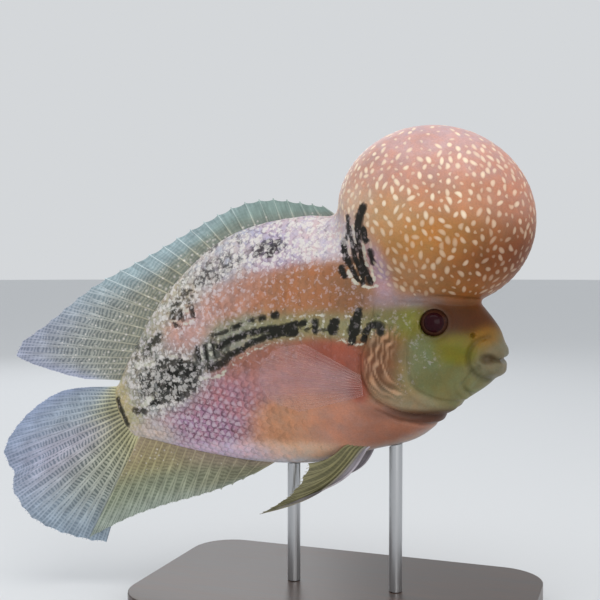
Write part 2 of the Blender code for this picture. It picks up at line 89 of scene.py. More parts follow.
FIN_GAP = 0.4
FIN_SEAT = 1.3
DORSAL_EDGE = [(12, 46), (-2, 48.5), (-15, 50), (-32, 47.5), (-55, 36.5), (-81, 21.5),
               (-107, 7), (-130, -12), (-147, -28), (-128, -37.5), (-112, -41.5)]
DORSAL_SPINES = 17
DORSAL_RAYS = 11
DORSAL_BASE = (4.48, 0.14)
DORSAL_CROWDING = (0.92, 1.12)
ANAL_EDGE = [(-24, -88), (-39, -95.5), (-54, -101), (-70, -106), (-87, -112.5), (-100, -119),
             (-110, -124.5)]
ANAL_RAYS = 16
ANAL_BASE = (3.18, 0.03)
CAUDAL_EDGE = [(-112, -46.5), (-126, -48.5), (-138, -55), (-149, -66), (-156, -81),
               (-149, -94.5), (-145, -103), (-139, -113), (-128, -121.5), (-114, -127),
               (-104, -128)]
CAUDAL_RAYS = 19
PECTORAL_EDGE = [(12, 29, -19), (-1, 33, -22), (-7.5, 35.5, -33), (-3, 33.5, -45),
                 (10, 29.5, -51)]
PECTORAL_ROOT = ((36.8, -32.5), (37.5, -43.5))
PECTORAL_RAYS = 12
PELVIC_EDGE = [(18, 17.5, -89.5), (-12, 21, -102.5), (-2, 20.8, -96), (4.5, 20.6, -90),
               (8.5, 20, -83.5), (11, 19, -77)]
PELVIC_ROOT = ((36.5, 8.5), (27.0, 12.5))

# Colour zones of one flank: name, colour, middle (x, z), reach (x, z), tilt in degrees, and how strong
# the dark net round the scales, the pearl on each scale, that pearl's size and the loose white dots are.
ZONES = [
    # The hump crown is partly the hump's own pale pink and partly painted sheen of the light that falls
    # on its top.
    ("hump crown and top sheen", "#c4a09e", (62, 80), (40, 15), 0, 0, 0, 0, 0),
    ("hump pink", "#be8f80", (64, 61), (36, 12), 0, 0, 0, 0, 0),
    ("hump front", "#b5806e", (106, 52), (11, 16), -10, 0, 0, 0, 0),
    ("hump back", "#c49a86", (30, 60), (12, 14), 0, 0, 0, 0, 0),
    ("hump coral", "#b98260", (84, 47), (20, 8), 0, 0, 0, 0, 0),
    ("hump tan", "#be9468", (52, 41), (13, 9), 0, 0, 0, 0, 0),
    ("hump ochre", "#b07a40", (74, 29), (24, 10), 8, 0, 0, 0, 0),
    ("hump rust", "#66300f", (101, 20), (19, 16), 20, 0, 0, 0, 0),
    ("hump umber", "#96602f", (84, 10), (18, 8), 0, 0, 0, 0, 0),
    ("hump foot", "#a37955", (60, 12), (16, 8), 0, 0, 0, 0, 0),
    # The hump rim is painted shade: the soft shadow on the underside of the overhanging hump, above the
    # eye.
    ("hump underside shade", "#83757c", (56, 1), (12, 3), 0, 0, 0, 0, 0.1),
    ("nape lilac", "#b39db8", (47, 14), (4, 9), 15, 0, 0.3, 0.5, 0.4),
    ("nape cream", "#d0b39a", (35, 46), (9, 6), 0, 0.1, 0.4, 0.5, 0.3),
    ("back white", "#c3b5bc", (14, 34), (18, 8), -6, 0.3, 0.5, 0.6, 1.0),
    ("back lilac", "#b3a6b9", (-12, 28), (14, 8), 10, 0.4, 0.45, 0.55, 1.0),
    ("back grey", "#b4b1b4", (-38, 19), (16, 10), 32, 0.4, 0.4, 0.5, 1.0),
    ("back olive", "#aaa695", (-62, 2), (12, 10), 45, 0.4, 0.4, 0.5, 1.0),
    ("shoulder tan", "#7a563b", (30, 3), (11, 9), 0, 0.1, 0.1, 0.3, 0.35),
    ("flank orange", "#9f6b4a", (6, 4), (24, 8), 3, 0.1, 0.1, 0.3, 0.42),
    ("flank salmon", "#b08271", (-28, 2), (15, 7), 18, 0.15, 0.2, 0.3, 0.5),
    ("tail salmon", "#bd958e", (-53, -15), (11, 8), 40, 0.15, 0.3, 0.35, 0.68),
    ("stripe olive", "#84805c", (12, -11), (36, 5), 4, 0.1, 0.2, 0.3, 0.25),
    ("stripe pale", "#8b8b7c", (-30, -20), (16, 6), 27, 0.1, 0.3, 0.4, 0.4),
    ("tail net", "#92918a", (-64, -40), (16, 12), 20, 0.3, 0.5, 0.5, 1.0),
    ("red arc", "#965342", (26, -24), (15, 4.5), -14, 0.05, 0.0, 0.3, 0.1),
    ("flank coral", "#9a6656", (-12, -28), (17, 5), 14, 0.15, 0.1, 0.3, 0.3),
    ("mauve", "#aa7d79", (-4, -38), (20, 7), 6, 0.1, 0.0, 0.3, 0.0),
    ("fin shadow pink", "#b0847f", (24, -37), (9, 4), -20, 0.0, 0.0, 0.3, 0.0),
    # On the rose and magenta rear flank the pearls and dots are partly the fish's pearl spots and partly
    # painted highlights on the scales.
    ("flank rose", "#ab7783", (-30, -48), (15, 8), 20, 0.5, 0.75, 0.5, 0.35),
    ("rear magenta", "#ad849d", (-43, -62), (18, 8), 8, 0.65, 1.0, 0.55, 0.5),
    ("belly lilac", "#e8cde4", (-36, -76), (24, 4), 3, 0.35, 0.8, 0.5, 0.5),
    ("belly orange", "#c08c6b", (0, -58), (18, 10), 8, 0.1, 0.0, 0.3, 0.0),
    ("belly rose", "#b5826f", (24, -57), (16, 10), 0, 0.0, 0.0, 0.3, 0.0),
    ("belly peach", "#e2bea1", (0, -73), (20, 4), 4, 0.05, 0.0, 0.3, 0.1),
    # The belly white is partly the belly's own pale colour and partly painted light, reflected up from
    # below onto the lower rim.
    ("belly white and reflected light", "#eaeaee", (2, -82), (30, 3.6), 4, 0.1, 0.2, 0.4, 0.2),
    ("breast", "#9c6b57", (44, -58), (12, 9), 20, 0.0, 0.0, 0.3, 0.0),
    ("breast pale", "#b3a69e", (44, -72), (16, 3.5), 20, 0.0, 0.0, 0.3, 0.0),
    ("root pad red", "#963c25", (37, -41), (3.5, 4), 0, 0, 0, 0, 0),
    ("gill tan", "#744f34", (50, -27), (9, 12), 0, 0, 0, 0, 0),
    ("gill top olive", "#64613a", (51, -8), (8, 5), 0, 0, 0, 0, 0.3),
    ("gill rim olive", "#85765a", (58, -44), (12, 4), -10, 0, 0, 0, 0),
    ("gill skin brown", "#47271a", (66, -51.5), (20, 2.4), 0, 0, 0, 0, 0),
    ("cheek band", "#807650", (58, -34), (3.5, 10), 0, 0, 0, 0, 0.42),
    ("cheek green", "#68714f", (66, -26), (6, 9), 0, 0, 0, 0, 0.34),
    ("cheek low", "#666338", (73, -36), (9, 6), 0, 0, 0, 0, 0),
    ("face olive", "#72721c", (61, -8), (7, 6), 0, 0, 0, 0, 0.26),
    ("snout olive", "#68620f", (80, -20), (9, 5), 0, 0, 0, 0, 0),
    # The brow brown is partly the face's own brown and partly painted shadow cast by the overhanging
    # hump.
    ("brow brown and hump shadow", "#482200", (84, -6), (10, 6), -20, 0, 0, 0, 0),
    ("eye shade", "#3c1b08", (73, -8), (8, 6.5), 0, 0, 0, 0, 0),
    ("snout amber", "#8a6118", (93, -16), (4, 4), -30, 0, 0, 0, 0),
    ("jaw olive", "#72704a", (83, -40), (10, 6), 20, 0, 0, 0, 0),
    ("lip buff", "#6a624a", (98, -26), (6, 9), 0, 0, 0, 0, 0),
    ("tail root pale", "#a39f93", (-82, -40), (8, 13), 30, 0.3, 0.5, 0.5, 1.0),
    ("tail root top", "#a5a290", (-80, -20), (8, 9), 45, 0.3, 0.4, 0.45, 0.7),
    ("tail root low", "#d0c2b8", (-76, -70), (12, 5), 10, 0.3, 0.4, 0.4, 0.5),
    ("tail joint", "#b3aa82", (-92, -52), (6, 14), 20, 0.2, 0.3, 0.3, 0.4),
]
ZONE_SHARPNESS = 1.0

# Dark strokes of one flank: the line of each through (x, z) points, its half width, and how much of it
# the ink covers.
DARK_STROKES = [
    # The hook behind the eye, the blotch, the beads and the stripe's strands from front to back.
    ([(48, -13), (47.5, -10.2), (43.5, -10.4), (40.8, -13.5), (40, -17)], 1.6, 1.0),
    ([(36.8, -4.5), (36.2, -9), (35, -13.5), (34, -18)], 2.1, 1.0),
    ([(35.6, -9), (35.2, -13)], 2.8, 1.0),
    ([(25.6, -9.4), (24.4, -12.8)], 2.5, 1.0),
    ([(15.8, -9.5), (15.8, -13.5)], 1.7, 0.95),
    ([(21, -13), (8, -12.8)], 1.0, 0.7),
    ([(10.5, -10), (4, -10.8), (-1, -13)], 1.4, 1.0),
    ([(5, -14), (0, -14), (-5, -14.5)], 2.6, 1.0),
    ([(0, -12.6), (-8.5, -13.4), (-16.5, -15), (-25, -18), (-30, -20), (-35, -23)], 1.7, 0.95),
    ([(-2, -15.5), (-9, -17), (-17, -20), (-22, -23.3), (-28, -26)], 1.6, 0.9),
    ([(-4.4, -6.4), (-6, -6.8)], 1.7, 0.95),
    ([(-11, -8.2), (-12.6, -8.5)], 1.4, 0.9),
    ([(-16.8, -9.3), (-18.8, -9.8)], 1.3, 0.85),
    ([(-23.5, -11.6), (-26.5, -12.9)], 1.4, 0.9),
    ([(-29, -14.3), (-33, -15.8), (-38.5, -17.2)], 1.1, 0.8),
    ([(-29, -26.5), (-34, -31), (-40, -33)], 2.2, 0.85),
    ([(-38.4, -21.5), (-37.3, -27)], 0.9, 0.95),
    ([(-42.8, -22.6), (-41.3, -29)], 0.9, 1.0),
    ([(-47.2, -23.6), (-45.9, -29.5)], 1.1, 1.0),
    # The broken net before the tail.
    ([(-49.5, -35), (-52, -36)], 2.9, 1.0),
    ([(-56.5, -30.5), (-56.5, -33.5)], 1.9, 0.95),
    ([(-59, -37), (-64, -36)], 2.1, 1.0),
    ([(-66, -30.5), (-68, -33)], 1.6, 0.8),
    ([(-61, -43), (-64, -43.5)], 2.3, 1.0),
    ([(-51, -41.5), (-54, -43)], 1.8, 0.9),
    ([(-59, -46), (-58.5, -50)], 1.4, 0.9),
    ([(-76.5, -43), (-78, -47)], 1.7, 0.9),
    ([(-70, -51.5), (-75, -52.5)], 1.9, 0.9),
    ([(-79, -39.5), (-80.5, -42)], 1.5, 0.85),
    ([(-79, -57), (-84, -57.5)], 2.0, 0.75),
    ([(-94.6, -52), (-92.6, -58), (-89.8, -64.5)], 1.5, 0.85),
    ([(-70.5, -40.5), (-68.5, -46)], 1.3, 0.85),
    # The blots of the back and above the tail.
    ([(-70, -19), (-74, -22)], 2.6, 0.75),
    ([(-76, -25), (-77.5, -28)], 1.9, 0.75),
    ([(-60.5, -2), (-63, -8), (-60, -13)], 1.5, 0.8),
    ([(-57.5, -6.5), (-58.5, -9)], 1.7, 0.85),
    ([(-51.5, -4), (-50, -8)], 1.4, 0.85),
    ([(-8, 28), (-11, 23)], 2.6, 0.8),
    ([(-14, 27), (-18, 23)], 2.3, 0.75),
    ([(-28, 29), (-31, 31.5)], 1.4, 0.6),
    ([(-24, 22), (-30, 18)], 2.2, 0.55),
    ([(-43, 27), (-47, 24)], 2.0, 0.6),
    ([(-34, 15), (-42, 9)], 2.4, 0.65),
    ([(-45, 14), (-50, 8)], 2.6, 0.65),
    ([(-52, 3), (-57, 3.5)], 2.2, 0.7),
    # The bundle of the nape.
    ([(40.5, 43), (38.6, 39), (37.4, 34), (36.8, 29.2), (35.8, 25)], 2.1, 1.0),
    ([(40.6, 33), (41.4, 29)], 1.9, 1.0),
    ([(31.4, 39.3), (31.3, 33), (29, 29.5)], 1.4, 0.9),
    ([(27.3, 27.5), (28.2, 22.5), (30.5, 18.5)], 1.7, 1.0),
    ([(32, 34.5), (32.8, 28.5), (33.6, 24), (33.8, 20.5), (35.6, 16.8), (37.5, 12.6), (38.2, 8.6)],
     1.5, 1.0),
    ([(37, 26), (37.7, 23), (37.6, 19), (38.9, 14.6), (41.8, 9.6)], 1.6, 1.0),
    ([(43.2, 23.5), (44, 18.5)], 1.4, 0.95),
    ([(26.8, 16), (28.8, 12)], 1.5, 1.0),
    ([(31.4, 16.8), (33.6, 13.4), (35.6, 10.2)], 1.4, 1.0),
]
# Soft clouds in which the ink breaks into a maze: middle (x, z), reach (x, z), tilt, share covered.
INK_CLOUDS = [
    ((-63, -40), (20, 12), 15, 0.74),
    ((-78, -32), (9, 14), 20, 0.52),
    ((-40, -27), (12, 7), 30, 0.6),
    ((-58, -6), (8, 9), 40, 0.56),
    ((-40, 15), (12, 7), 32, 0.54),
    ((-12, 26), (10, 4.5), 5, 0.56),
    ((38, -10), (16, 6), 0, 0.35),
]
# Cream strokes of the same kind: the stripe's border, the nape's pale lines and the face's upper line.
CREAM_STROKES = [
    ([(34, -6.4), (22, -6.2), (8, -6.8), (-4, -9), (-16, -11.6), (-30, -16), (-42, -23)], 0.8, 0.75),
    ([(40, -19.5), (30, -17.6), (16, -16), (6, -17.2), (-4, -19), (-14, -23), (-24, -28), (-32, -35)],
     0.9, 0.8),
    ([(-1, -3.6), (-12, -5.6), (-24, -8.8), (-34, -13), (-44, -18)], 0.7, 0.7),
    ([(-32, -35), (-38, -38), (-46, -38.5)], 1.3, 0.9),
    ([(-73, -32), (-83, -34)], 1.9, 1.0),
    ([(-74, -50), (-79, -54)], 2.0, 1.0),
    ([(-52, -29.5), (-60, -28.5), (-68, -28.5)], 1.0, 0.9),
    ([(-63, -10.5), (-55, -12), (-50, -10)], 0.9, 0.9),
    ([(-58, -3), (-54, -6)], 1.2, 1.0),
    ([(30.5, -9), (30.5, -15)], 1.1, 0.85),
    ([(20, -8.5), (19.6, -13.5)], 1.0, 0.85),
    ([(11.5, -8.5), (12, -11.5)], 0.9, 0.8),
    ([(38.6, -7), (38.2, -14)], 0.8, 0.8),
    ([(43.8, -12.4), (44, -16)], 0.8, 0.9),
    ([(50.5, -13), (50.8, -9), (47, -7), (43, -7.5)], 0.8, 0.8),
    ([(-44.9, -23.6), (-43.8, -29)], 0.8, 1.0),
    ([(-40.5, -22.2), (-39.4, -27.5)], 0.8, 1.0),
    ([(34.2, 36), (35, 31), (35.4, 27.5)], 0.8, 1.2),
    ([(29.6, 28), (30.4, 22.5)], 0.8, 1.1),
    ([(39.9, 26), (39.8, 21), (40.3, 17.4)], 1.1, 1.3),
    ([(42.8, 15), (43.5, 10.5)], 1.0, 1.2),
    ([(30, 14.5), (32.6, 11.2), (36, 8.2)], 0.8, 1.2),
    ([(33.2, 17.8), (35.2, 13.8), (36.9, 10.6)], 0.5, 1.2),
    ([(39.2, 12), (39.6, 8.6)], 0.5, 1.1),
    ([(38.6, 7.4), (41.7, 7), (45.6, 7.9)], 0.8, 1.2),
]
STROKE_SOFT = 1.1         # how far each way from its edge a stroke fades, in millimetres
INK_SPREAD = 0.35
WORM_STEP = 2.7           # from one worm line of the gill cover to the next
WORM_COLOUR = "#c29c7c"
GAPE_AT = (94.6, -25.2)   # the open corner of the mouth, x and z
GAPE_HALF = (3.3, 2.4)
# The colour below is painted shade: the dark inside the open mouth and in the slit between the lips.
MOUTH_SHADE_COLOUR = "#4b3a22"
MOUTH_LINE = [(94.6, -25.2), (98, -25.9), (104, -26.7)]
LIP_RING = 8.4            # from that corner to the groove round the lips

# Lines of the head and the ridges and grooves along them: the height of each, its distance from the line
# and its half width.
GILL_RIDGES = ((-0.9, -1.9, 1.7), (0.35, 2.0, 1.6))
CHEEK_RIDGES = ((0.5, -2.4, 2.6), (-0.7, 0.6, 1.6))
THROAT_LINE = [(44, -47), (56, -52.5), (72, -55), (86, -53)]
THROAT_RIDGES = ((0.5, 0.0, 1.5), (-0.5, 2.4, 1.3))
BROW_LINE = [(55, 2), (64, 1.5), (74, 2.5), (84, 1.5), (95, 0)]
BROW_RIDGES = ((-0.7, 0.0, 1.8),)
JAW_LINE = [(90.5, -29), (86, -34), (83.5, -38.5), (86, -43)]
JAW_RIDGES = ((-0.9, 0.0, 1.5), (0.4, 2.4, 1.6))
SNOUT_LINE = [(92.5, -16), (90, -22), (88.5, -27)]
SNOUT_RIDGES = ((-0.5, 0.0, 1.4),)
LIP_RIDGES = ((0.55, 5.2, 2.6),)
LIP_GROOVES = ((-0.7, LIP_RING, 1.5),)
MOUTH_RIDGES = ((0.35, 2.6, 1.6), (-1.3, 0.0, 1.4))
GAPE_DEPTH = 1.9
NOSTRIL_RIDGES = ((0.35, 1.5, 0.9),)
NOSTRIL_DEPTH = 1.6

# Sizes of the skin, scales, flecks, eyes and fins, in millimetres where nothing else is said.
SHARP_ANGLE = 50          # degrees between faces past which an edge stays sharp
SKIN_CELL = 0.75
SOCKET_DEPTH = 3.6
SOCKET_INSET = 0.75       # how far a socket's rim lies inside its eyeball's
LID_RAISE = 0.35
JOINT_ROUNDS = 110        # rounds of smoothing where hump and back meet
LIP_ROUNDS = 26
SCALE_COLUMNS = 6
SCALE_LINES = 5
SCALE_THICKNESS = 0.07
SCALE_HALF_WIDTH = 0.64   # as a share of a row
SCALE_LENGTH = 1.62       # as a share of a step
SCALE_ROOT = 0.72         # from a scale's middle forward to its root, as a share of a step
SCALE_ROUNDING = 0.26     # how far its corners lie ahead of its free edge, as a share of its length
SCALE_ROOT_SUNK = 0.16
SCALE_SEAT = 0.03
# How far single scales differ in turn (radians), size, place along and across, and raise.
SCALE_SPREADS = (0.09, 0.05, 0.25, 0.2, 0.1)
SCALE_SEED = 40
PATCH = 0.003             # width of one scale on the unwrap
FLECK_SEED = 11
FLECK_APART = 3.3
FLECK_SIDES = 14
FLECK_SUNK = 1.0          # no fleck where the hump lies deeper than this under the skin
FLECK_LEAN = (0.15, 0.55)  # middle and spread of the flecks' lean, in radians
LARGE_FLECKS = 0.6        # their share of all the flecks
FLECK_LENGTHS = {True: (1.4, 2.4), False: (0.8, 1.4)}       # of large flecks and of small ones
FLECK_WIDTHS = {True: (0.95, 1.25), False: (0.6, 0.9)}
# Rings of one fleck from its middle out: share of its half length, height, and how pale it is there.
FLECK_RINGS = ((0.25, 0.12, 1.0), (0.55, 0.10, 0.9), (0.8, 0.07, 0.6), (1.0, 0.02, 0.25),
               (1.25, -0.10, 0.0), (1.1, -0.4, 0.0))
PUPIL_SHARE = 0.69        # pupil radius as a share of the eyeball's
LENS_SWELL = 0.22
IRIS_GROOVE = 0.10
EYE_FACES = (0.2, 1.0, 0.1)
MEMBRANE_COLUMNS = 12     # from one ray of a fin to the next
MEMBRANE_ROWS = 34
RAY_STEPS = 24
RAY_SIDES = 7
SPINE_WIDTH = 1.25        # a spine's radius, as a share of a ray's
END_RAY_WIDTH = 0.8       # the same for the first and the last ray of a fin
SPINE_TAPER = 0.55        # share of its radius that a spine loses on its way out
RAY_TAPER = 0.72
FORK_WIDTH = 0.84         # a branch's radius, as a share of its stem's
FORK_AT = (0.14, 0.5)     # shares of a ray's length where it forks
DASH_STEP = 1.8           # from one pale bar to the next along a fin's gaps

# The stage, in metres and watts: the lights' names, places, sizes, powers and colours.
AIM = (-0.02, 0.0, AXIS_HEIGHT * MM)
FLOOR_RADIUS = 12.0
FLOOR_DROP = 0.0002
SENSOR_WIDTH = 36.0
SURROUND_COLOUR = "#e4e7ea"
SURROUND_STRENGTH = 0.85
SOFT_BOXES = (
    ("soft_box_top", (0.05, -0.25, 1.1), (1.0, 0.8), 5.0, (1.0, 0.99, 0.97)),
    ("soft_box_front", (0.75, -1.0, 0.45), (0.9, 0.7), 4.5, (1.0, 0.98, 0.96)),
    ("soft_box_rear", (-0.7, 0.9, 0.7), (0.9, 0.7), 2.4, (0.97, 0.98, 1.0)),
)

# Colour zones of each fin: name, the rays' colour, the film's between them, how far pale bars cross the
# film, how strong loose pale dots are, then the middle and reach of the zone in shares across the fin
# and out to its edge.
FIN_ZONES = {
    "dorsal": [
        ("front film", "#95a7a0", "#82968f", 0.0, 0.1, (0.1, 0.6), (0.22, 0.6)),
        ("front foot", "#9a9d92", "#7b857d", 0.1, 0.8, (0.2, 0.0), (0.35, 0.22)),
        ("middle edge", "#bccbcf", "#91a6ac", 0.3, 0.2, (0.45, 0.95), (0.2, 0.4)),
        ("middle foot", "#9b967f", "#73766a", 0.6, 0.8, (0.55, 0.1), (0.3, 0.3)),
        ("rear middle", "#9da098", "#6a706e", 0.9, 0.5, (0.78, 0.45), (0.2, 0.35)),
        ("rear edge", "#a8adc2", "#7f869c", 0.6, 0.1, (0.92, 1.0), (0.2, 0.4)),
    ],
    "tail": [
        ("foot", "#c4be90", "#67654a", 0.2, 0.1, (0.5, 0.06), (0.9, 0.2)),
        ("foot bar", "#6b6640", "#3f3c22", 0.0, 0.0, (0.6, 0.1), (0.3, 0.05)),
        ("upper", "#a3aeb8", "#7b8893", 0.8, 0.1, (0.2, 0.5), (0.3, 0.35)),
        ("upper edge", "#95a1be", "#8390ac", 0.4, 0.0, (0.25, 1.0), (0.4, 0.35)),
        # The fold's pale lilac rays are painted light along the ridge of the tail's fold.
        ("fold", "#b9afc6", "#73768a", 0.8, 0.1, (0.56, 0.6), (0.12, 0.4)),
        ("lower", "#acae9e", "#5f6557", 0.8, 0.1, (0.76, 0.45), (0.25, 0.4)),
        ("lower edge", "#9aabbc", "#7b8c9c", 0.4, 0.0, (0.75, 1.0), (0.3, 0.35)),
    ],
    "anal": [
        ("foot", "#ad9c88", "#938272", 0.4, 0.5, (0.5, 0.0), (1.0, 0.25)),
        ("root corner", "#a89c62", "#86794c", 0.5, 0.6, (0.75, 0.15), (0.25, 0.25)),
        ("front", "#969378", "#6d6c55", 0.5, 0.1, (0.12, 0.6), (0.3, 0.6)),
        ("middle", "#949b86", "#666f5c", 0.5, 0.0, (0.6, 0.7), (0.4, 0.5)),
        ("edge", "#a3aea8", "#808c86", 0.2, 0.0, (0.6, 1.0), (0.8, 0.2)),
    ],
    "pelvic": [
        ("lead", "#b0a9b6", "#8f8995", 0.0, 0.0, (0.0, 0.6), (0.16, 1.0)),
        ("film", "#7d7854", "#575437", 0.2, 0.0, (0.6, 0.4), (0.5, 0.6)),
        ("tip", "#888363", "#69664d", 0.2, 0.0, (0.5, 1.0), (0.6, 0.3)),
    ],
    "pectoral": [
        ("film", "#b8928a", "#b8969a", 0.0, 0.0, (0.5, 0.5), (1.0, 1.0)),
    ],
}


def hex_colour(text):
    """Linear colour, with alpha 1, of an sRGB hex value."""
    parts = [int(text[k:k + 2], 16) / 255 for k in (1, 3, 5)]
    return (*[c / 12.92 if c <= 0.04045 else ((c + 0.055) / 1.055) ** 2.4 for c in parts], 1.0)


def ease(value):
    """0 below 0, 1 above 1, and smooth between."""
    value = np.clip(value, 0.0, 1.0)
    return value * value * (3 - 2 * value)


def curve(points, t):
    """Points at t, an array, on the smooth curve that passes through points 0, 1, 2 and so on."""
    points = np.asarray(points, float)
    t = np.asarray(t, float)
    i = np.clip(np.floor(t).astype(int), 0, len(points) - 2)
    f = (t - i)[..., None]
    ends = (2 * points[:1] - points[1:2], points, 2 * points[-1:] - points[-2:-1])
    a, b, c, d = (np.concatenate(ends)[i + k] for k in range(4))
    return 0.5 * (2 * b + (c - a) * f + (2 * a - 5 * b + 4 * c - d) * f ** 2
                  + (3 * b - a - 3 * c + d) * f ** 3)


def lengths(line):
    """How far along a line of points each of them lies."""
    return np.concatenate([[0.0], np.cumsum(np.linalg.norm(np.diff(line, axis=0), axis=1))])


def along(points, share, steps=400):
    """Points at shares of the length of the smooth curve through points."""
    line = curve(points, np.linspace(0, len(points) - 1, steps + 1))
    run = lengths(line)
    want = np.clip(share, 0.0, 1.0) * run[-1]
    return np.stack([np.interp(want, run, line[:, k]) for k in range(line.shape[1])], axis=-1)


def placed(points):
    """Metres in the frame for points of the drawing in millimetres."""
    out = np.array(points, float)
    out[..., 1] -= BEND * np.maximum(0.0, BEND_START - out[..., 0]) ** 2
    out[..., 0] -= STAND_X
    out[..., 2] += AXIS_HEIGHT
    return out * MM


def drawn(points):
    """Points of the drawing in millimetres for metres in the frame."""
    out = np.array(points, float) / MM
    out[..., 2] -= AXIS_HEIGHT
    out[..., 0] += STAND_X
    out[..., 1] += BEND * np.maximum(0.0, BEND_START - out[..., 0]) ** 2
    return out


def section(t, angle, grow=0.0):
    """Points of the body's sections at stations t, at angles from 0 on the back to half a turn below."""
    t, angle = np.broadcast_arrays(np.asarray(t, float), np.asarray(angle, float))
    top, bottom = curve(BACK, t), curve(BELLY, t)
    half = (top - bottom) / 2
    length = np.linalg.norm(half, axis=-1, keepdims=True)
    reach = half * (1 + grow / length)
    up = np.cos(angle)
    side = np.sin(angle)
    fullness = 1.0 - BACK_NARROWER * ease(up) + BELLY_WIDER * ease(-up)
    width = (curve([(w, 0) for w in HALF_WIDTH], t)[..., 0] + grow) * fullness
    middle = (top + bottom) / 2
    across = np.sign(side) * np.abs(side) ** SHOULDER_POWER * width
    return np.stack([middle[..., 0] + reach[..., 0] * up, across,
                     middle[..., 1] + reach[..., 1] * up], axis=-1)


def measure(points, x, z, steps=40):
    """Distance on the drawing from each (x, z) to the smooth curve through points, the share of
    the curve passed there, and the side: positive to the left of the curve's run."""
    line = curve(points, np.linspace(0, len(points) - 1, steps + 1)) if len(points) > 2 else \
        np.asarray(points, float)
    best = np.full(x.shape, 1e9)
    share = np.zeros(x.shape)
    hand = np.zeros(x.shape)
    for k, (a, b) in enumerate(zip(line, line[1:])):
        run = b - a
        f = np.clip(((x - a[0]) * run[0] + (z - a[1]) * run[1]) / (run @ run), 0, 1)
        dx, dz = x - a[0] - f * run[0], z - a[1] - f * run[1]
        gap = np.hypot(dx, dz)
        nearer = gap < best
        best = np.where(nearer, gap, best)
        share = np.where(nearer, (k + f) / (len(line) - 1), share)
        hand = np.where(nearer, np.sign(run[0] * dz - run[1] * dx), hand)
    return best, share, hand


def surface_y(x, z):
    """Half width of the plain body at one point of the drawing."""
    t = FINE_STATIONS
    top, bottom = curve(BACK, t), curve(BELLY, t)
    half = (top - bottom) / 2
    away = np.array([x, z]) - (top + bottom) / 2
    up = (away * half).sum(axis=1) / (half ** 2).sum(axis=1)
    off = np.linalg.norm(away - half * up[:, None], axis=1)
    k = np.argmin(off + 100 * (np.abs(up) >= 1))
    return float(section(t[k], math.acos(float(np.clip(up[k], -1, 1))))[1])


def new_object(name, points, faces, materials, smooth=True):
    """A mesh object from points in metres and lists of corner numbers."""
    mesh = bpy.data.meshes.new(name)
    mesh.from_pydata(np.asarray(points, float).tolist(), [], [list(map(int, f)) for f in faces])
    mesh.validate()
    if smooth:
        mesh.shade_smooth()
        mesh.set_sharp_from_angle(angle=math.radians(SHARP_ANGLE))
    for finish in materials:
        mesh.materials.append(finish)
    made = bpy.data.objects.new(name, mesh)
    bpy.context.scene.collection.objects.link(made)
    return made


def full_turn(count):
    """Angles in even steps that go once round."""
    return np.linspace(0, 2 * math.pi, count, endpoint=False)


def grid_faces(rows, columns, start=0, turn=False, flip=False):
    """Quads over a grid of points numbered row by row. With turn, the last column meets the first."""
    r, c = np.meshgrid(np.arange(rows - 1), np.arange(columns if turn else columns - 1), indexing="ij")
    across = (c + 1) % columns
    quads = np.stack([r * columns + c, r * columns + across, (r + 1) * columns + across,
                      (r + 1) * columns + c], axis=-1).reshape(-1, 4) + start
    return quads[:, ::-1] if flip else quads


def tube_faces(rows, sides, flip=False):
    """Faces of a tube of rings of points, numbered ring by ring and closed at both ends."""
    faces = [list(f) for f in grid_faces(rows, sides, turn=True, flip=flip)]
    first = list(range(sides))
    last = [(rows - 1) * sides + k for k in first]
    return faces + ([first, last[::-1]] if flip else [first[::-1], last])


def rim_of(rows, columns, start=0):
    """The grid's border points in order round it."""
    border = list(range(columns))
    border += [r * columns + columns - 1 for r in range(1, rows)]
    border += [(rows - 1) * columns + k for k in range(columns - 2, -1, -1)]
    border += [r * columns for r in range(rows - 2, 0, -1)]
    return [start + k for k in border]


def closed_sheet(top, bottom, start=0):
    """Points and faces of a closed thin body between two grids of points of the same size."""
    rows, columns = top.shape[:2]
    count = rows * columns
    points = np.concatenate([top.reshape(-1, 3), bottom.reshape(-1, 3)])
    upper = rim_of(rows, columns, start)
    lower = rim_of(rows, columns, start + count)
    walls = [(upper[k], lower[k], lower[(k + 1) % len(lower)], upper[(k + 1) % len(upper)])
             for k in range(len(upper))]
    faces = np.concatenate([grid_faces(rows, columns, start),
                            grid_faces(rows, columns, start + count, flip=True), np.array(walls)])
    return points, faces


def give(made, name, kind, values):
    """A named attribute on the points of an object's mesh. A colour comes without its alpha of 1."""
    field = {"FLOAT_COLOR": "color", "FLOAT_VECTOR": "vector", "FLOAT": "value"}[kind]
    if kind == "FLOAT_COLOR":
        values = np.concatenate([values, np.ones((len(values), 1))], axis=1)
    layer = made.data.attributes.new(name, kind, "POINT")
    layer.data.foreach_set(field, np.asarray(values, np.float32).ravel())


def points_of(mesh, field="co"):
    """A mesh's points, or with the field "normal" the normals there, as an array."""
    out = np.empty(len(mesh.vertices) * 3, np.float32)
    mesh.vertices.foreach_get(field, out)
    return out.reshape(-1, 3).astype(float)


def set_points(mesh, points):
    """Moves a mesh's points."""
    mesh.vertices.foreach_set("co", np.asarray(points, np.float32).ravel())
    mesh.update()


def stroke_field(strokes, x, z, spread=0.0):
    """How much of each point the strokes cover: their share on them, and half of it at their edges.
    The spread widens them all."""
    field = np.zeros(x.shape)
    for points, half, share in strokes:
        half = half + spread
        low = np.min(points, axis=0) - half - STROKE_SOFT
        high = np.max(points, axis=0) + half + STROKE_SOFT
        near = (x > low[0]) & (x < high[0]) & (z > low[1]) & (z < high[1])
        if near.any():
            gap = measure(points, x[near], z[near], steps=8)[0]
            cover = share * np.clip(0.5 + (half - gap) / (2 * STROKE_SOFT), 0, 1)
            field[near] = np.maximum(field[near], cover)
    return field


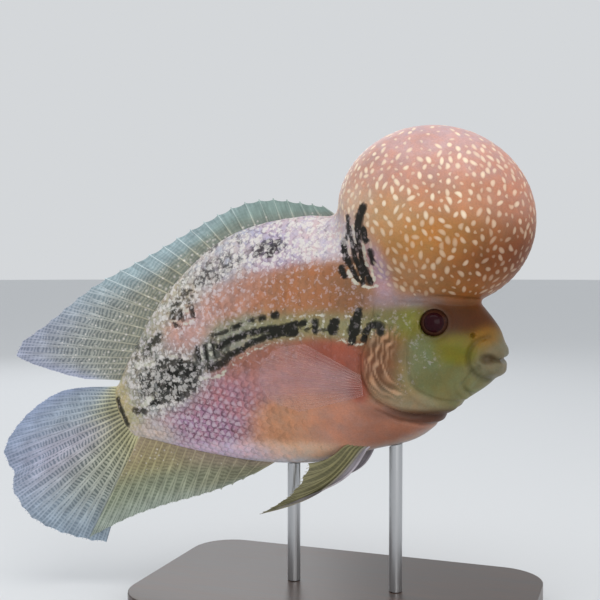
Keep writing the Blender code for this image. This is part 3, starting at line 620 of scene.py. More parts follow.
def tilted(x, z, middle, reach, tilt):
    """Square of the distance from a tilted oval's middle, 1 on its rim."""
    turn = math.radians(tilt)
    dx, dz = x - middle[0], z - middle[1]
    u = (dx * math.cos(turn) + dz * math.sin(turn)) / reach[0]
    v = (dz * math.cos(turn) - dx * math.sin(turn)) / reach[1]
    return u * u + v * v


def tint(colours, shade, share):
    """Draws an array of colours towards a hex colour, each by its share."""
    colours += (np.array(hex_colour(shade)[:3]) - colours) * share[:, None]


def lip_distance(x, z):
    """How far a point is from the corner of the mouth, a little less above and below it."""
    return np.hypot(x - GAPE_AT[0], 0.85 * (z - GAPE_AT[1]))


def gape_distance(x, z):
    """Distance from the corner of the mouth, 1 on the rim of its open oval."""
    return np.hypot((x - GAPE_AT[0]) / GAPE_HALF[0], (z - GAPE_AT[1]) / GAPE_HALF[1])


def mouth_front(x):
    """0 at the corners of the mouth, 1 at its front, and smooth between."""
    return ease((x - 95) / 3)


def ridge(distance, middle, half):
    """1 where a distance is at the middle, 0 past half away, and smooth between."""
    return ease(1 - np.abs(distance - middle) / half)


def paint(points):
    """Ground colour and mark fields of the skin at points of the drawing, the same on both sides."""
    x, z = points[:, 0], points[:, 2]
    total = np.full(len(x), 1e-9)
    colour = np.zeros((len(x), 3))
    fields = np.zeros((len(x), 4))
    for _, shade, middle, reach, tilt, *values in ZONES:
        away = tilted(x, z, middle, reach, tilt)
        weight = np.exp(-ZONE_SHARPNESS * away) + 1e-7 / (1 + away)
        total += weight
        colour += weight[:, None] * np.array(hex_colour(shade)[:3])
        fields += weight[:, None] * np.array(values)
    colour /= total[:, None]
    net, pearl, pearl_size, dots = (fields / total[:, None]).T
    cream = stroke_field(CREAM_STROKES, x, z)
    ink = stroke_field(DARK_STROKES, x, z, INK_SPREAD) * (1 - 0.78 * ease(cream * 2 - 1.0))
    for middle, reach, tilt, share in INK_CLOUDS:
        cloud = share * ease(1.6 - tilted(x, z, middle, reach, tilt)) * (1 - 0.6 * ease(cream * 2 - 0.6))
        ink = np.maximum(ink, cloud)
    inside, line = worm_lines(x, z)
    colour *= (1 - 0.3 * inside * (1 - line))[:, None]
    tint(colour, WORM_COLOUR, 0.66 * inside * line)
    # Painted shade: the groove round the lips is darkened, and the open mouth and the slit between the
    # lips are tinted dark brown.
    groove = ridge(lip_distance(x, z), LIP_RING, 2.4) * ease((97 - x) / 3) * ease((x - 80) / 3)
    colour *= (1 - 0.35 * groove)[:, None]
    slit_shade = 0.6 * ease(1.3 - measure(MOUTH_LINE, x, z)[0] / 0.9) * mouth_front(x)
    tint(colour, MOUTH_SHADE_COLOUR, np.maximum(0.85 * ease(1.5 - gape_distance(x, z)), slit_shade))
    return {
        "ground": colour,
        "marks": np.stack([ink, cream, net], axis=1),
        "pearls": np.stack([pearl, pearl_size, np.zeros(len(x))], axis=1),
        "dots": dots,
    }


def worm_lines(x, z):
    """Where the wavy pale lines of the gill cover lie and how near each point is to one of them. They
    keep their distance from the cover's rear edge."""
    gap, _, hand = measure(GILL_EDGE, x, z)
    ahead = gap * hand
    sway = 0.8 * np.sin(z / 3.7 + 1.6 * np.sin(x / 2.6)) + 0.6 * np.sin(z / 1.45 + x / 1.1) + 0.12 * z
    phase = 2 * math.pi * (ahead + sway) / WORM_STEP
    inside = ease((ahead - 0.5) / 1.5) * ease((14.5 - ahead) / 5)
    inside = inside * ease((-8 - z) / 5) * ease((z + 46) / 5)
    broken = 0.7 + 0.3 * np.sin(z / 1.9 + 2.5 * np.sin(ahead / 1.7))
    return inside * ease((61 - x) / 7), ease(0.34 + 0.62 * np.cos(phase)) * broken


def give_paint(made, points, lie):
    """Sets the skin's fields on an object: its paint, place on the drawing and where on a scale it is."""
    fields = paint(points)
    give(made, "ground", "FLOAT_COLOR", fields["ground"])
    for name in ("marks", "pearls"):
        give(made, name, "FLOAT_VECTOR", fields[name])
    give(made, "dots", "FLOAT", fields["dots"])
    give(made, "place", "FLOAT_VECTOR", points)
    give(made, "lie", "FLOAT_VECTOR", lie)


def fill(tree, made, inputs):
    """Fills or links a node's inputs by name or number. A node links by the first output that it uses."""
    for key, value in inputs.items():
        if isinstance(value, bpy.types.Node):
            value = next(output for output in value.outputs if output.enabled)
        if isinstance(value, bpy.types.NodeSocket):
            tree.links.new(value, made.inputs[key])
        else:
            made.inputs[key].default_value = value


def node(tree, kind, inputs=None, **settings):
    """Adds a shader node with its settings and fills its inputs."""
    made = tree.nodes.new("ShaderNode" + kind)
    for key, value in settings.items():
        setattr(made, key, value)
    fill(tree, made, inputs or {})
    return made


def blank_material(name):
    """A new material, its node tree and its Principled shader."""
    finish = bpy.data.materials.new(name)
    finish.use_nodes = True
    return finish, finish.node_tree, finish.node_tree.nodes["Principled BSDF"]


def wet_skin():
    """Fish skin under a clear wet film: colour cells and pearly cells in layers under a thin slime coat.
    The eye sees soft mottled colour with crisp dark and cream marks, and one low even gloss over all."""
    looks = bpy.context.scene.cichlid_skin
    finish, tree, shader = blank_material("wet_fish_skin")
    ground = node(tree, "Attribute", attribute_name="ground").outputs["Color"]
    place = node(tree, "Attribute", attribute_name="place").outputs["Vector"]
    marks = node(tree, "Attribute", attribute_name="marks").outputs["Vector"]
    ink_mark, cream_mark, net_mark = node(tree, "SeparateXYZ", {0: marks}).outputs
    pearls = node(tree, "Attribute", attribute_name="pearls").outputs["Vector"]
    pearl_mark, pearl_size, fleck_mark = node(tree, "SeparateXYZ", {0: pearls}).outputs
    lie = node(tree, "Attribute", attribute_name="lie").outputs["Vector"]
    across, outward, tag = node(tree, "SeparateXYZ", {0: lie}).outputs
    dots = node(tree, "Attribute", attribute_name="dots").outputs["Fac"]
    # Clouds of colour cells about 9 mm across, warm blooms of 6 mm, blots of 2.6 mm and grain of 0.8 mm.
    clouds = node(tree, "TexNoise", {"Vector": place, "Scale": 1 / 9.0, "Detail": 4.0, "Roughness": 0.6})
    blooms = node(tree, "TexNoise", {"Vector": place, "Scale": 1 / 6.0, "Detail": 3.0, "Roughness": 0.6})
    blots = node(tree, "TexNoise", {"Vector": place, "Scale": 1 / 2.6, "Detail": 1.0, "Roughness": 0.4,
                                    "Distortion": 0.4})
    grain = node(tree, "TexNoise", {"Vector": place, "Scale": 1 / 0.8, "Detail": 2.0, "Roughness": 0.6})
    broad = node(tree, "MapRange", {0: clouds, 1: 0.3, 2: 0.7, 3: 0.89, 4: 1.11})
    speck = node(tree, "MapRange", {0: grain, 1: 0.25, 2: 0.75, 3: 0.9, 4: 1.1})
    each = node(tree, "MapRange", {0: tag, 3: 0.88, 4: 1.12})
    both = node(tree, "Math", {0: broad, 1: speck}, operation="MULTIPLY")
    shade = node(tree, "Math", {0: both, 1: each}, operation="MULTIPLY")
    shaded = node(tree, "VectorMath", {0: ground, "Scale": shade}, operation="SCALE")
    warmth = node(tree, "MapRange", {0: blooms, 1: 0.35, 2: 0.65})
    mottled = node(tree, "Mix", {0: warmth, 6: (0.95, 1.02, 1.10, 1.0), 7: (1.08, 0.98, 0.90, 1.0)},
                   data_type="RGBA")
    tinted = node(tree, "Mix", {0: 1.0, 6: shaded, 7: mottled}, data_type="RGBA", blend_type="MULTIPLY")
    # Each scale darkens to a ragged net towards its free edge and its sides.
    side = node(tree, "Math", {0: across}, operation="ABSOLUTE")
    edge = node(tree, "Math", {0: side, 1: outward}, operation="MAXIMUM")
    ragged = node(tree, "Math", {0: blots, 1: 0.7, 2: edge}, operation="MULTIPLY_ADD")
    net = node(tree, "MapRange", {0: ragged, 1: 0.9, 2: 1.3}, interpolation_type="SMOOTHSTEP")
    net_share = node(tree, "Math", {0: net, 1: net_mark}, operation="MULTIPLY")
    dimmed = node(tree, "Mix", {0: net_share, 6: tinted, 7: looks.net_colour},
                  data_type="RGBA", blend_type="MULTIPLY")
    # An uneven pearl sits on the open part of each scale; on the rose and magenta rear flank it is partly
    # a painted highlight on the scale.
    wander = node(tree, "VectorMath", {0: grain.outputs["Color"], 1: (-0.5, -0.5, -0.5)}, operation="ADD")
    shifted = node(tree, "VectorMath", {0: wander, 1: (0.9, 0.6, 0.0), 2: lie}, operation="MULTIPLY_ADD")
    from_spot = node(tree, "VectorMath", {0: shifted, 1: (0.0, 0.7, 0.0)}, operation="SUBTRACT")
    oval = node(tree, "VectorMath", {0: from_spot, 1: (0.8, 1.9, 0.0)}, operation="MULTIPLY")
    away = node(tree, "VectorMath", {0: oval}, operation="LENGTH")
    chance = node(tree, "MapRange", {0: tag, 3: -0.15, 4: 0.2})
    reach = node(tree, "Math", {0: pearl_size, 1: chance}, operation="ADD")
    inner = node(tree, "Math", {0: reach, 1: -0.4}, operation="ADD")
    pearl = node(tree, "MapRange", {0: away, 1: reach, 2: inner}, interpolation_type="SMOOTHSTEP")
    pearl_share = node(tree, "Math", {0: pearl, 1: pearl_mark}, operation="MULTIPLY")
    pearl_part = node(tree, "Math", {0: pearl_share, 1: 0.85}, operation="MULTIPLY")
    lustre = node(tree, "Mix", {0: 0.64, 6: tinted, 7: looks.pearl_colour}, data_type="RGBA")
    pearled = node(tree, "Mix", {0: pearl_part, 6: dimmed, 7: lustre}, data_type="RGBA")
    # Loose pale dots of many sizes, one to a cell 2.6 mm wide: where they are strong they run together.
    # On the rose and magenta rear flank these dots are partly painted highlights on the scales.
    bend = node(tree, "VectorMath", {0: blots.outputs["Color"], 1: (4.2, 4.2, 4.2), 2: place},
                operation="MULTIPLY_ADD")
    warped = node(tree, "VectorMath", {0: wander, 1: (2.2, 2.2, 2.2), 2: bend}, operation="MULTIPLY_ADD")
    cells = node(tree, "TexVoronoi", {"Vector": warped, "Scale": 1 / 2.6, "Randomness": 0.9})
    luck = node(tree, "SeparateColor", {0: cells.outputs["Color"]})
    dot_room = node(tree, "Math", {0: luck, 1: 0.25, 2: 0.24}, operation="MULTIPLY_ADD")
    dot_reach = node(tree, "Math", {0: dots, 1: 0.24, 2: dot_room}, operation="MULTIPLY_ADD")
    dot_core = node(tree, "Math", {0: dot_reach, 1: -0.3}, operation="ADD")
    dot = node(tree, "MapRange", {0: cells, 1: dot_reach, 2: dot_core, 4: 0.9},
               interpolation_type="SMOOTHSTEP")
    dot_on = node(tree, "MapRange", {0: dots, 1: 0.02, 2: 0.8})
    whiteness = node(tree, "Math", {0: dots, 1: 2.6}, operation="POWER")
    dot_tone = node(tree, "Mix", {0: whiteness, 6: lustre, 7: looks.dot_colour}, data_type="RGBA")
    dot_share = node(tree, "Math", {0: dot, 1: dot_on}, operation="MULTIPLY")
    # Cream strokes and dark ink, broken up scale by scale and frayed by the blots and the grain.
    fray = node(tree, "Math", {0: grain, 1: 0.2, 2: blots}, operation="MULTIPLY_ADD")
    frayed = node(tree, "Math", {0: fray, 1: -0.6}, operation="ADD")
    beads = node(tree, "MapRange", {0: cells, 1: 0.1, 2: 0.6, 3: 0.22, 4: -0.3})
    beaded = node(tree, "Math", {0: beads, 1: cream_mark}, operation="ADD")
    cream_edge = node(tree, "Math", {0: frayed, 1: 1.2, 2: beaded}, operation="MULTIPLY_ADD")
    cream_on = node(tree, "MapRange", {0: cream_mark, 1: 0.1, 2: 0.6, 4: 0.9})
    cream_in = node(tree, "MapRange", {0: cream_edge, 1: 0.35, 2: 0.75}, interpolation_type="SMOOTHSTEP")
    cream = node(tree, "Math", {0: cream_in, 1: cream_on}, operation="MULTIPLY")
    creamed = node(tree, "Mix", {0: cream, 6: pearled, 7: looks.cream_colour}, data_type="RGBA")
    by_scale = node(tree, "Math", {0: tag, 1: 0.2, 2: ink_mark}, operation="MULTIPLY_ADD")
    ink_edge = node(tree, "Math", {0: frayed, 1: -1.4, 2: by_scale}, operation="MULTIPLY_ADD")
    ink_in = node(tree, "MapRange", {0: ink_edge, 1: 0.46, 2: 0.76}, interpolation_type="SMOOTHSTEP")
    ink_on = node(tree, "MapRange", {0: ink_mark, 1: 0.12, 2: 0.9, 3: 0.0, 4: 0.97})
    ink_root = node(tree, "Math", {0: ink_on, 1: 0.6}, operation="POWER")
    ink = node(tree, "Math", {0: ink_in, 1: ink_root}, operation="MULTIPLY")
    inked = node(tree, "Mix", {0: ink, 6: creamed, 7: looks.dark_colour}, data_type="RGBA")
    dot_left = node(tree, "Math", {0: ink, 1: -0.4, 2: 1.0}, operation="MULTIPLY_ADD")
    dot_seen = node(tree, "Math", {0: dot_share, 1: dot_left}, operation="MULTIPLY")
    dotted = node(tree, "Mix", {0: dot_seen, 6: inked, 7: dot_tone}, data_type="RGBA")
    # The flecks of the hump fade out to the ground colour at their rims.
    flecked = node(tree, "Mix", {0: fleck_mark, 6: dotted, 7: looks.fleck_colour}, data_type="RGBA")
    gloss = node(tree, "MapRange", {0: grain, 3: 0.36, 4: 0.54})
    relief = node(tree, "Bump", {"Height": grain, "Strength": 0.3, "Distance": 0.2 * MM})
    fill(tree, shader, {
        "Base Color": flecked, "Roughness": gloss, "Normal": relief, "Specular IOR Level": 0.18,
        "Coat Weight": 0.12, "Coat IOR": 1.33, "Coat Roughness": 0.12, "Subsurface Weight": 0.1,
        "Subsurface Radius": (1.0, 0.45, 0.3), "Subsurface Scale": 1.6 * MM})
    return finish


def tube_mesh(line, radii, sides=16):
    """Points and faces of a closed round tube along a line of points, with a radius at each."""
    line = np.asarray(line, float)
    run = np.gradient(line, axis=0)
    run /= np.linalg.norm(run, axis=1, keepdims=True)
    side = np.cross(run, (0.3, 0.2, 1.0))
    side /= np.linalg.norm(side, axis=1, keepdims=True)
    over = np.cross(side, run)
    turn = full_turn(sides)
    radii = np.broadcast_to(np.asarray(radii, float), len(line))
    ring = (side[:, None] * np.cos(turn)[None, :, None] + over[:, None] * np.sin(turn)[None, :, None])
    points = line[:, None] + ring * radii[:, None, None]
    return points.reshape(-1, 3), tube_faces(len(line), sides)


def body_mesh(grow):
    """The plain body, from tail root to snout, as points and faces of one closed tube."""
    rings, sides = 230, 240
    points = section(np.linspace(0.0, LAST_STATION, rings)[:, None], full_turn(sides)[None, :], grow)
    return points.reshape(-1, 3), tube_faces(rings, sides, flip=True)


def hump_mesh(grow):
    """The hump's leaning ellipsoid, as points and faces."""
    work = bmesh.new()
    bmesh.ops.create_icosphere(work, subdivisions=6, radius=1.0)
    points = np.array([v.co for v in work.verts]) * (np.array(HUMP_HALF) + grow) + HUMP_CENTRE
    faces = [[v.index for v in f.verts] for f in work.faces]
    work.free()
    points[:, 0] -= HUMP_LEAN * (points[:, 2] - HUMP_CENTRE[2])
    return points, faces


def lip_mesh(sizes):
    """One lip, a tube round the snout that thins towards the corners of the mouth."""
    front, height, radius = sizes
    corner_x, corner_y, corner_z = LIP_CORNER
    turn = np.linspace(-math.pi / 2, math.pi / 2, 61)
    corner = np.abs(np.sin(turn)) ** 4
    line = np.stack([corner_x + (front - corner_x) * np.maximum(np.cos(turn), 0) ** 0.8,
                     corner_y * np.sin(turn), height + (corner_z - height) * corner], axis=1)
    return tube_mesh(line, radius * (1 + (LIP_CORNER_SHARE - 1) * corner), 24)


def tail_wedge(grow):
    """Flesh that runs out over the roots of the tail's rays, as points and faces."""
    top, bottom = np.array(BACK[0], float), np.array(BELLY[0], float)
    back = np.array([(bottom - top)[1], -(bottom - top)[0]])
    back /= np.linalg.norm(back)
    rows = []
    for out in np.linspace(-3.0, 5.0, 9):
        share = np.linspace(0.0, 1.0, 40)
        swell = np.sin(math.pi * np.clip(share, 0.02, 0.98)) ** 0.5
        thin = (HALF_WIDTH[0] + grow) * ease(1.05 - max(out, 0.0) / 5.5) ** 0.7 * swell
        middle = top + (bottom - top) * share[:, None] + back * out * swell[:, None]
        rows.append([np.stack([middle[:, 0], side * thin, middle[:, 1]], axis=1) for side in (1, -1)])
    left = np.stack([r[0] for r in rows])
    right = np.stack([r[1] for r in rows])
    return closed_sheet(left, right)


def relax(points, edges, weight, rounds, pull=0.5):
    """Draws each point towards the middle of its neighbours, by its weight, some rounds over."""
    a, b = edges[:, 0], edges[:, 1]
    count = len(points)
    neighbours = np.maximum(np.bincount(a, minlength=count) + np.bincount(b, minlength=count), 1)
    out = points.copy()
    for _ in range(rounds):
        mean = np.stack([np.bincount(a, out[b, k], count) + np.bincount(b, out[a, k], count)
                         for k in range(3)], axis=1) / neighbours[:, None]
        out += (mean - out) * (pull * weight)[:, None]
    return out


def raised(distance, ridges):
    """Height at each distance from a line, from the ridges and grooves along it."""
    return sum(height * ridge(distance, middle, half) for height, middle, half in ridges)


def head_relief(points):
    """How far the skin stands out, along its normal, for the forms of gill cover, cheek and throat."""
    x, y, z = points.T
    flat = ease(np.abs(y) / 9)
    gap, _, hand = measure(GILL_EDGE, x, z)
    ahead = gap * hand
    flare = np.where(ahead >= 0, ease(1 - ahead / GILL_FLARE_REACH), ease(1 + ahead / 1.1))
    out = (GILL_FLARE * flare + raised(ahead, GILL_RIDGES)) * ease((4 - z) / 14) * flat
    gap, share, hand = measure(CHEEK_EDGE, x, z)
    out += raised(gap * hand, CHEEK_RIDGES) * ease((x - 50) / 6) * flat * ease(share * 8)
    return out + raised(measure(THROAT_LINE, x, z)[0], THROAT_RIDGES) * ease((x - 42) / 5)


def face_relief(points):
    """The finer forms of the face: brow and jaw creases, the open mouth between its lips and the
    nostril's pit."""
    x, y, z = points.T
    rim = lip_distance(x, z)
    pit = np.hypot(x - NOSTRIL_AT[0], z - NOSTRIL_AT[1])
    out = raised(measure(BROW_LINE, x, z)[0], BROW_RIDGES) * ease((x - 52) / 6)
    out += raised(measure(JAW_LINE, x, z)[0], JAW_RIDGES)
    out += raised(measure(SNOUT_LINE, x, z)[0], SNOUT_RIDGES)
    out += raised(rim, LIP_RIDGES) + raised(rim, LIP_GROOVES) * ease((96 - x) / 3)
    out += raised(pit, NOSTRIL_RIDGES) - NOSTRIL_DEPTH * ease(1.25 - pit)
    out -= GAPE_DEPTH * ease(1.3 - gape_distance(x, z))
    out *= ease((np.abs(y) - 2) / 5)
    return out + raised(measure(MOUTH_LINE, x, z)[0], MOUTH_RIDGES) * mouth_front(x)


def carve_eye_sockets(points, eye_y):
    """Sinks the skin behind each eye and raises a soft lid round it."""
    x, y, z = points.T
    away = np.hypot(x - EYE_AT[0], z - EYE_AT[1])
    side = np.sign(y)
    outside = np.abs(y) > 6
    lid = LID_RAISE * ridge(away, EYE_RADIUS + 0.6, 2.2)
    sunk = ease((EYE_RADIUS - SOCKET_INSET - away) / 0.8)
    floor = eye_y - SOCKET_DEPTH
    deep = np.where(np.abs(y) > floor, np.abs(y) + (floor - np.abs(y)) * sunk, np.abs(y))
    points[:, 1] = np.where(outside, side * (deep + lid * (1 - sunk)), y)
    return points


def build_skin(looks):
    """One skin over tail root, trunk, head and hump, in drawing millimetres, as a mesh object."""
    sunk = -looks.coat_depth / MM
    trunk, bump = body_mesh(sunk), hump_mesh(sunk)
    forms = [trunk, bump, lip_mesh(UPPER_LIP), lip_mesh(LOWER_LIP), tail_wedge(sunk)]
    points, faces, start = [], [], 0
    for form, corners in forms:
        points.append(form)
        faces += [[k + start for k in f] for f in corners]
        start += len(form)
    made = new_object("skin", np.concatenate(points), faces, [wet_skin()])
    cells = made.modifiers.new("cells", "REMESH")
    cells.mode = "VOXEL"
    cells.voxel_size = looks.skin_cell / MM
    graph = bpy.context.evaluated_depsgraph_get()
    mesh = bpy.data.meshes.new_from_object(made.evaluated_get(graph))
    made.modifiers.clear()
    old = made.data
    made.data = mesh
    bpy.data.meshes.remove(old)
    return made, trunk, bump


def keep_largest(mesh):
    """Drops every shell of a mesh but the largest, as the remesh may leave one inside."""
    work = bmesh.new()
    work.from_mesh(mesh)
    work.verts.ensure_lookup_table()
    seen = np.zeros(len(work.verts), bool)
    shells = []
    for first in work.verts:
        if seen[first.index]:
            continue
        shell, stack = [], [first]
        seen[first.index] = True
        while stack:
            here = stack.pop()
            shell.append(here)
            for edge in here.link_edges:
                other = edge.other_vert(here)
                if not seen[other.index]:
                    seen[other.index] = True
                    stack.append(other)
        shells.append(shell)
    shells.sort(key=len)
    for shell in shells[:-1]:
        bmesh.ops.delete(work, geom=shell, context="VERTS")
    work.to_mesh(mesh)
    work.free()


def shape_skin(made, trunk, bump):
    """Smooths the skin, blends the hump into the back, and adds the forms of the head."""
    mesh = made.data
    keep_largest(mesh)
    edges = np.empty(len(mesh.edges) * 2, np.int32)
    mesh.edges.foreach_get("vertices", edges)
    edges = edges.reshape(-1, 2)
    points = points_of(mesh)
    points = relax(points, edges, np.ones(len(points)), 4)
    trees = [BVHTree.FromPolygons(form.tolist(), [list(map(int, f)) for f in faces])
             for form, faces in (trunk, bump)]
    near = np.flatnonzero((points[:, 0] > 5) & (points[:, 2] > -12))
    gap = np.full(len(points), 99.0)
    for k in near:
        here = Vector(points[k])
        gap[k] = max(trees[0].find_nearest(here)[3], trees[1].find_nearest(here)[3])
    # The joint is wide and soft behind, and a tight crease over the eye and snout.
    behind = ease((62 - points[:, 0]) / 22)
    reach = 1.6 + 9.0 * behind
    points = relax(points, edges, ease(1.4 - gap / reach) * (0.35 + 0.65 * behind), JOINT_ROUNDS, 0.6)
    # The lips melt into the snout.
    points = relax(points, edges, ease((points[:, 0] - 88) / 8), LIP_ROUNDS, 0.5)
    set_points(mesh, points)
    out = points_of(mesh, "normal")
    points = points + out * (head_relief(points) + face_relief(points))[:, None]
    points = carve_eye_sockets(points, surface_y(*EYE_AT))
    points = relax(points, edges, np.ones(len(points)), 1, 0.4)
    set_points(mesh, points)


class CichlidSkin(bpy.types.PropertyGroup):
    """Sizes and colours of the skin and its scales."""
    skin_cell: FloatProperty(name="Skin cell", description="Edge of one cell of the skin's mesh",
                             default=SKIN_CELL * MM, unit="LENGTH", precision=5)
    coat_depth: FloatProperty(name="Coat depth", description="How far the skin lies inside the solids",
                              default=0.3 * MM, unit="LENGTH", precision=5)
    scale_row: FloatProperty(name="Scale row", description="Height of a row of scales on the mid flank",
                             default=3.6 * MM, unit="LENGTH", precision=5)
    scale_step: FloatProperty(name="Scale step", description="From one scale to the next in its row",
                              default=3.7 * MM, unit="LENGTH", precision=5)
    scale_raise: FloatProperty(name="Scale raise", description="How far a scale's free edge stands up",
                               default=0.14 * MM, unit="LENGTH", precision=5)
    flecks: IntProperty(name="Flecks", description="Number of pale flecks on the hump", default=900)
    net_colour: FloatVectorProperty(name="Net", description="Tint of the net between the scales",
                                    default=hex_colour("#6c4b5a"), size=4, subtype="COLOR")
    pearl_colour: FloatVectorProperty(name="Pearls", description="Colour of the pearly spots",
                                      default=hex_colour("#d6c8d2"), size=4, subtype="COLOR")
    dot_colour: FloatVectorProperty(name="Dots", description="Colour of the loose white dots",
                                    default=hex_colour("#d9d3cd"), size=4, subtype="COLOR")
    fleck_colour: FloatVectorProperty(name="Flecks", description="Colour of the hump's pale flecks",
                                      default=hex_colour("#f0d9bd"), size=4, subtype="COLOR")
    cream_colour: FloatVectorProperty(name="Cream", description="Colour of the pale strokes",
                                      default=hex_colour("#c2bfae"), size=4, subtype="COLOR")
    dark_colour: FloatVectorProperty(name="Stripe", description="Colour of the dark stripe and blotches",
                                     default=hex_colour("#14140f"), size=4, subtype="COLOR")


class CichlidEyes(bpy.types.PropertyGroup):
    """Colours of the eyes."""
    pupil_colour: FloatVectorProperty(name="Pupil", description="Colour seen deep in the pupil",
                                      default=hex_colour("#24050c"), size=4, subtype="COLOR")
    iris_colour: FloatVectorProperty(name="Iris", description="Colour of the thin ring round the pupil",
                                     default=hex_colour("#331a10"), size=4, subtype="COLOR")


class CichlidFins(bpy.types.PropertyGroup):
    """Sizes of the fins and how much of the light their films stop."""
    film_thickness: FloatProperty(name="Film", description="Thickness of a fin's film at its root",
                                  default=0.5 * MM, unit="LENGTH", precision=5)
    ray_radius: FloatProperty(name="Ray radius", description="Radius of a middle fin's ray at its root",
                              default=0.5 * MM, unit="LENGTH", precision=5)
    clear_share: FloatProperty(name="Pectoral film", description="How opaque the clear pectoral fins are",
                               default=0.1, min=0.0, max=1.0)


class CichlidStand(bpy.types.PropertyGroup):
    """Colours of the display stand."""
    wood_colour: FloatVectorProperty(name="Wood", description="Colour of the stained wood",
                                     default=hex_colour("#4a3223"), size=4, subtype="COLOR")
    steel_colour: FloatVectorProperty(name="Steel", description="Colour of the steel rods",
                                      default=hex_colour("#b9babc"), size=4, subtype="COLOR")


class CichlidStage(bpy.types.PropertyGroup):
    """Sizes and strengths of the floor, the lights and the camera."""
    turn: FloatProperty(name="Turn", description="The camera's angle round the fish's right flank",
                        default=math.radians(20), subtype="ANGLE")
    rise: FloatProperty(name="Rise", description="The camera's angle above level",
                        default=math.radians(2), subtype="ANGLE")
    distance: FloatProperty(name="Distance", description="From the camera to the middle of the fish",
                            default=0.48, unit="LENGTH")
    lens: FloatProperty(name="Lens", description="Focal length in millimetres on a 36 mm sensor",
                        default=58.18)
    floor_colour: FloatVectorProperty(name="Floor", description="Colour of the floor",
                                      default=hex_colour("#d6d8da"), size=4, subtype="COLOR")


class CICHLID_OT_skin(bpy.types.Operator):
    """Builds the skin that covers the trunk, the head and the hump"""
    bl_idname = "cichlid.skin"
    bl_label = "Skin"

    def execute(self, context):
        looks = context.scene.cichlid_skin
        made, trunk, bump = build_skin(looks)
        shape_skin(made, trunk, bump)
        points = points_of(made.data)
        lie = np.zeros((len(points), 3))
        lie[:, 2] = 0.5
        give_paint(made, points, lie)
        set_points(made.data, placed(points))
        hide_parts("torso", "head", "caudal_peduncle", "nuchal_hump")
        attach(made, "root")
        return {"FINISHED"}


def scale_places(looks, side):
    """Middles, run and rise of every scale of one flank, with its size, laid in rows at a set
    distance from the mid line, from the tail root to the gill cover."""
    row, step = looks.scale_row / MM, looks.scale_step / MM
    angles = np.linspace(0.02, math.pi - 0.02, 400)
    t_all = np.linspace(0.0, LAST_STATION, 1200)
    middle = section(t_all, math.pi / 2)
    size = 0.72 + 0.32 * ease((t_all - 0.2) / 2.6) - 0.12 * ease((t_all - 4.6) / 1.6)
    length = np.linalg.norm(np.diff(middle, axis=0), axis=1) / (step * size[1:])
    count = np.concatenate([[0.0], np.cumsum(length)])
    places = []
    for column in range(int(count[-1])):
        ts = np.interp([column + 0.2, column - 0.3], count, t_all)
        rows = [section(t, angles) for t in ts]
        runs = [lengths(r) for r in rows]
        scale = float(np.interp(ts[0], t_all, size))
        mid = [np.interp(math.pi / 2, angles, run) for run in runs]
        most = int(runs[0][-1] / (row * scale)) + 2
        for k in range(-most, most):
            v = (k + 0.5 * (column % 2)) * row * scale
            here, behind = (np.array([np.interp(m - v, run, r[:, a]) for a in range(3)])
                            for m, run, r in zip(mid, runs, rows))
            if not 0.8 < mid[0] - v < runs[0][-1] - 0.8:
                continue
            over = np.array([np.interp(mid[0] - v - 0.5, runs[0], rows[0][:, a]) for a in range(3)])
            ways = (here, behind - here, over - here)
            places.append((*[way * (1, side, 1) for way in ways], scale))
    return places


def is_scaled(x, z):
    """True where the flank carries scales: behind the gill cover's edge, clear of the hump and of the
    pectoral fin's smooth pad."""
    gap, _, hand = measure(GILL_EDGE, np.array([x]), np.array([z]))
    lean = x + HUMP_LEAN * (z - HUMP_CENTRE[2])
    in_hump = math.hypot((lean - HUMP_CENTRE[0]) / (HUMP_HALF[0] + 1),
                         (z - HUMP_CENTRE[2]) / (HUMP_HALF[2] + 1)) < 1
    clear = 2.0 if x < 50 else 4.0
    on_pad = math.hypot(x - 38, (z + 38) / 1.5) < 6
    return hand[0] * gap[0] < -clear and not in_hump and not on_pad


def scale_relief(x, z):
    """Share of the full raise that scales have: full towards the tail, low forward and on the breast."""
    rear = 0.4 + 0.6 * float(ease((12 - x) / 30))
    smooth_breast = math.exp(-(((x - 34) / 20) ** 2 + ((z + 55) / 18) ** 2))
    smooth_pad = math.exp(-(((x - 14) / 20) ** 2 + ((z + 38) / 9) ** 2))
    return rear * (1.0 - 0.75 * smooth_breast - 0.5 * smooth_pad * (1 - smooth_breast))


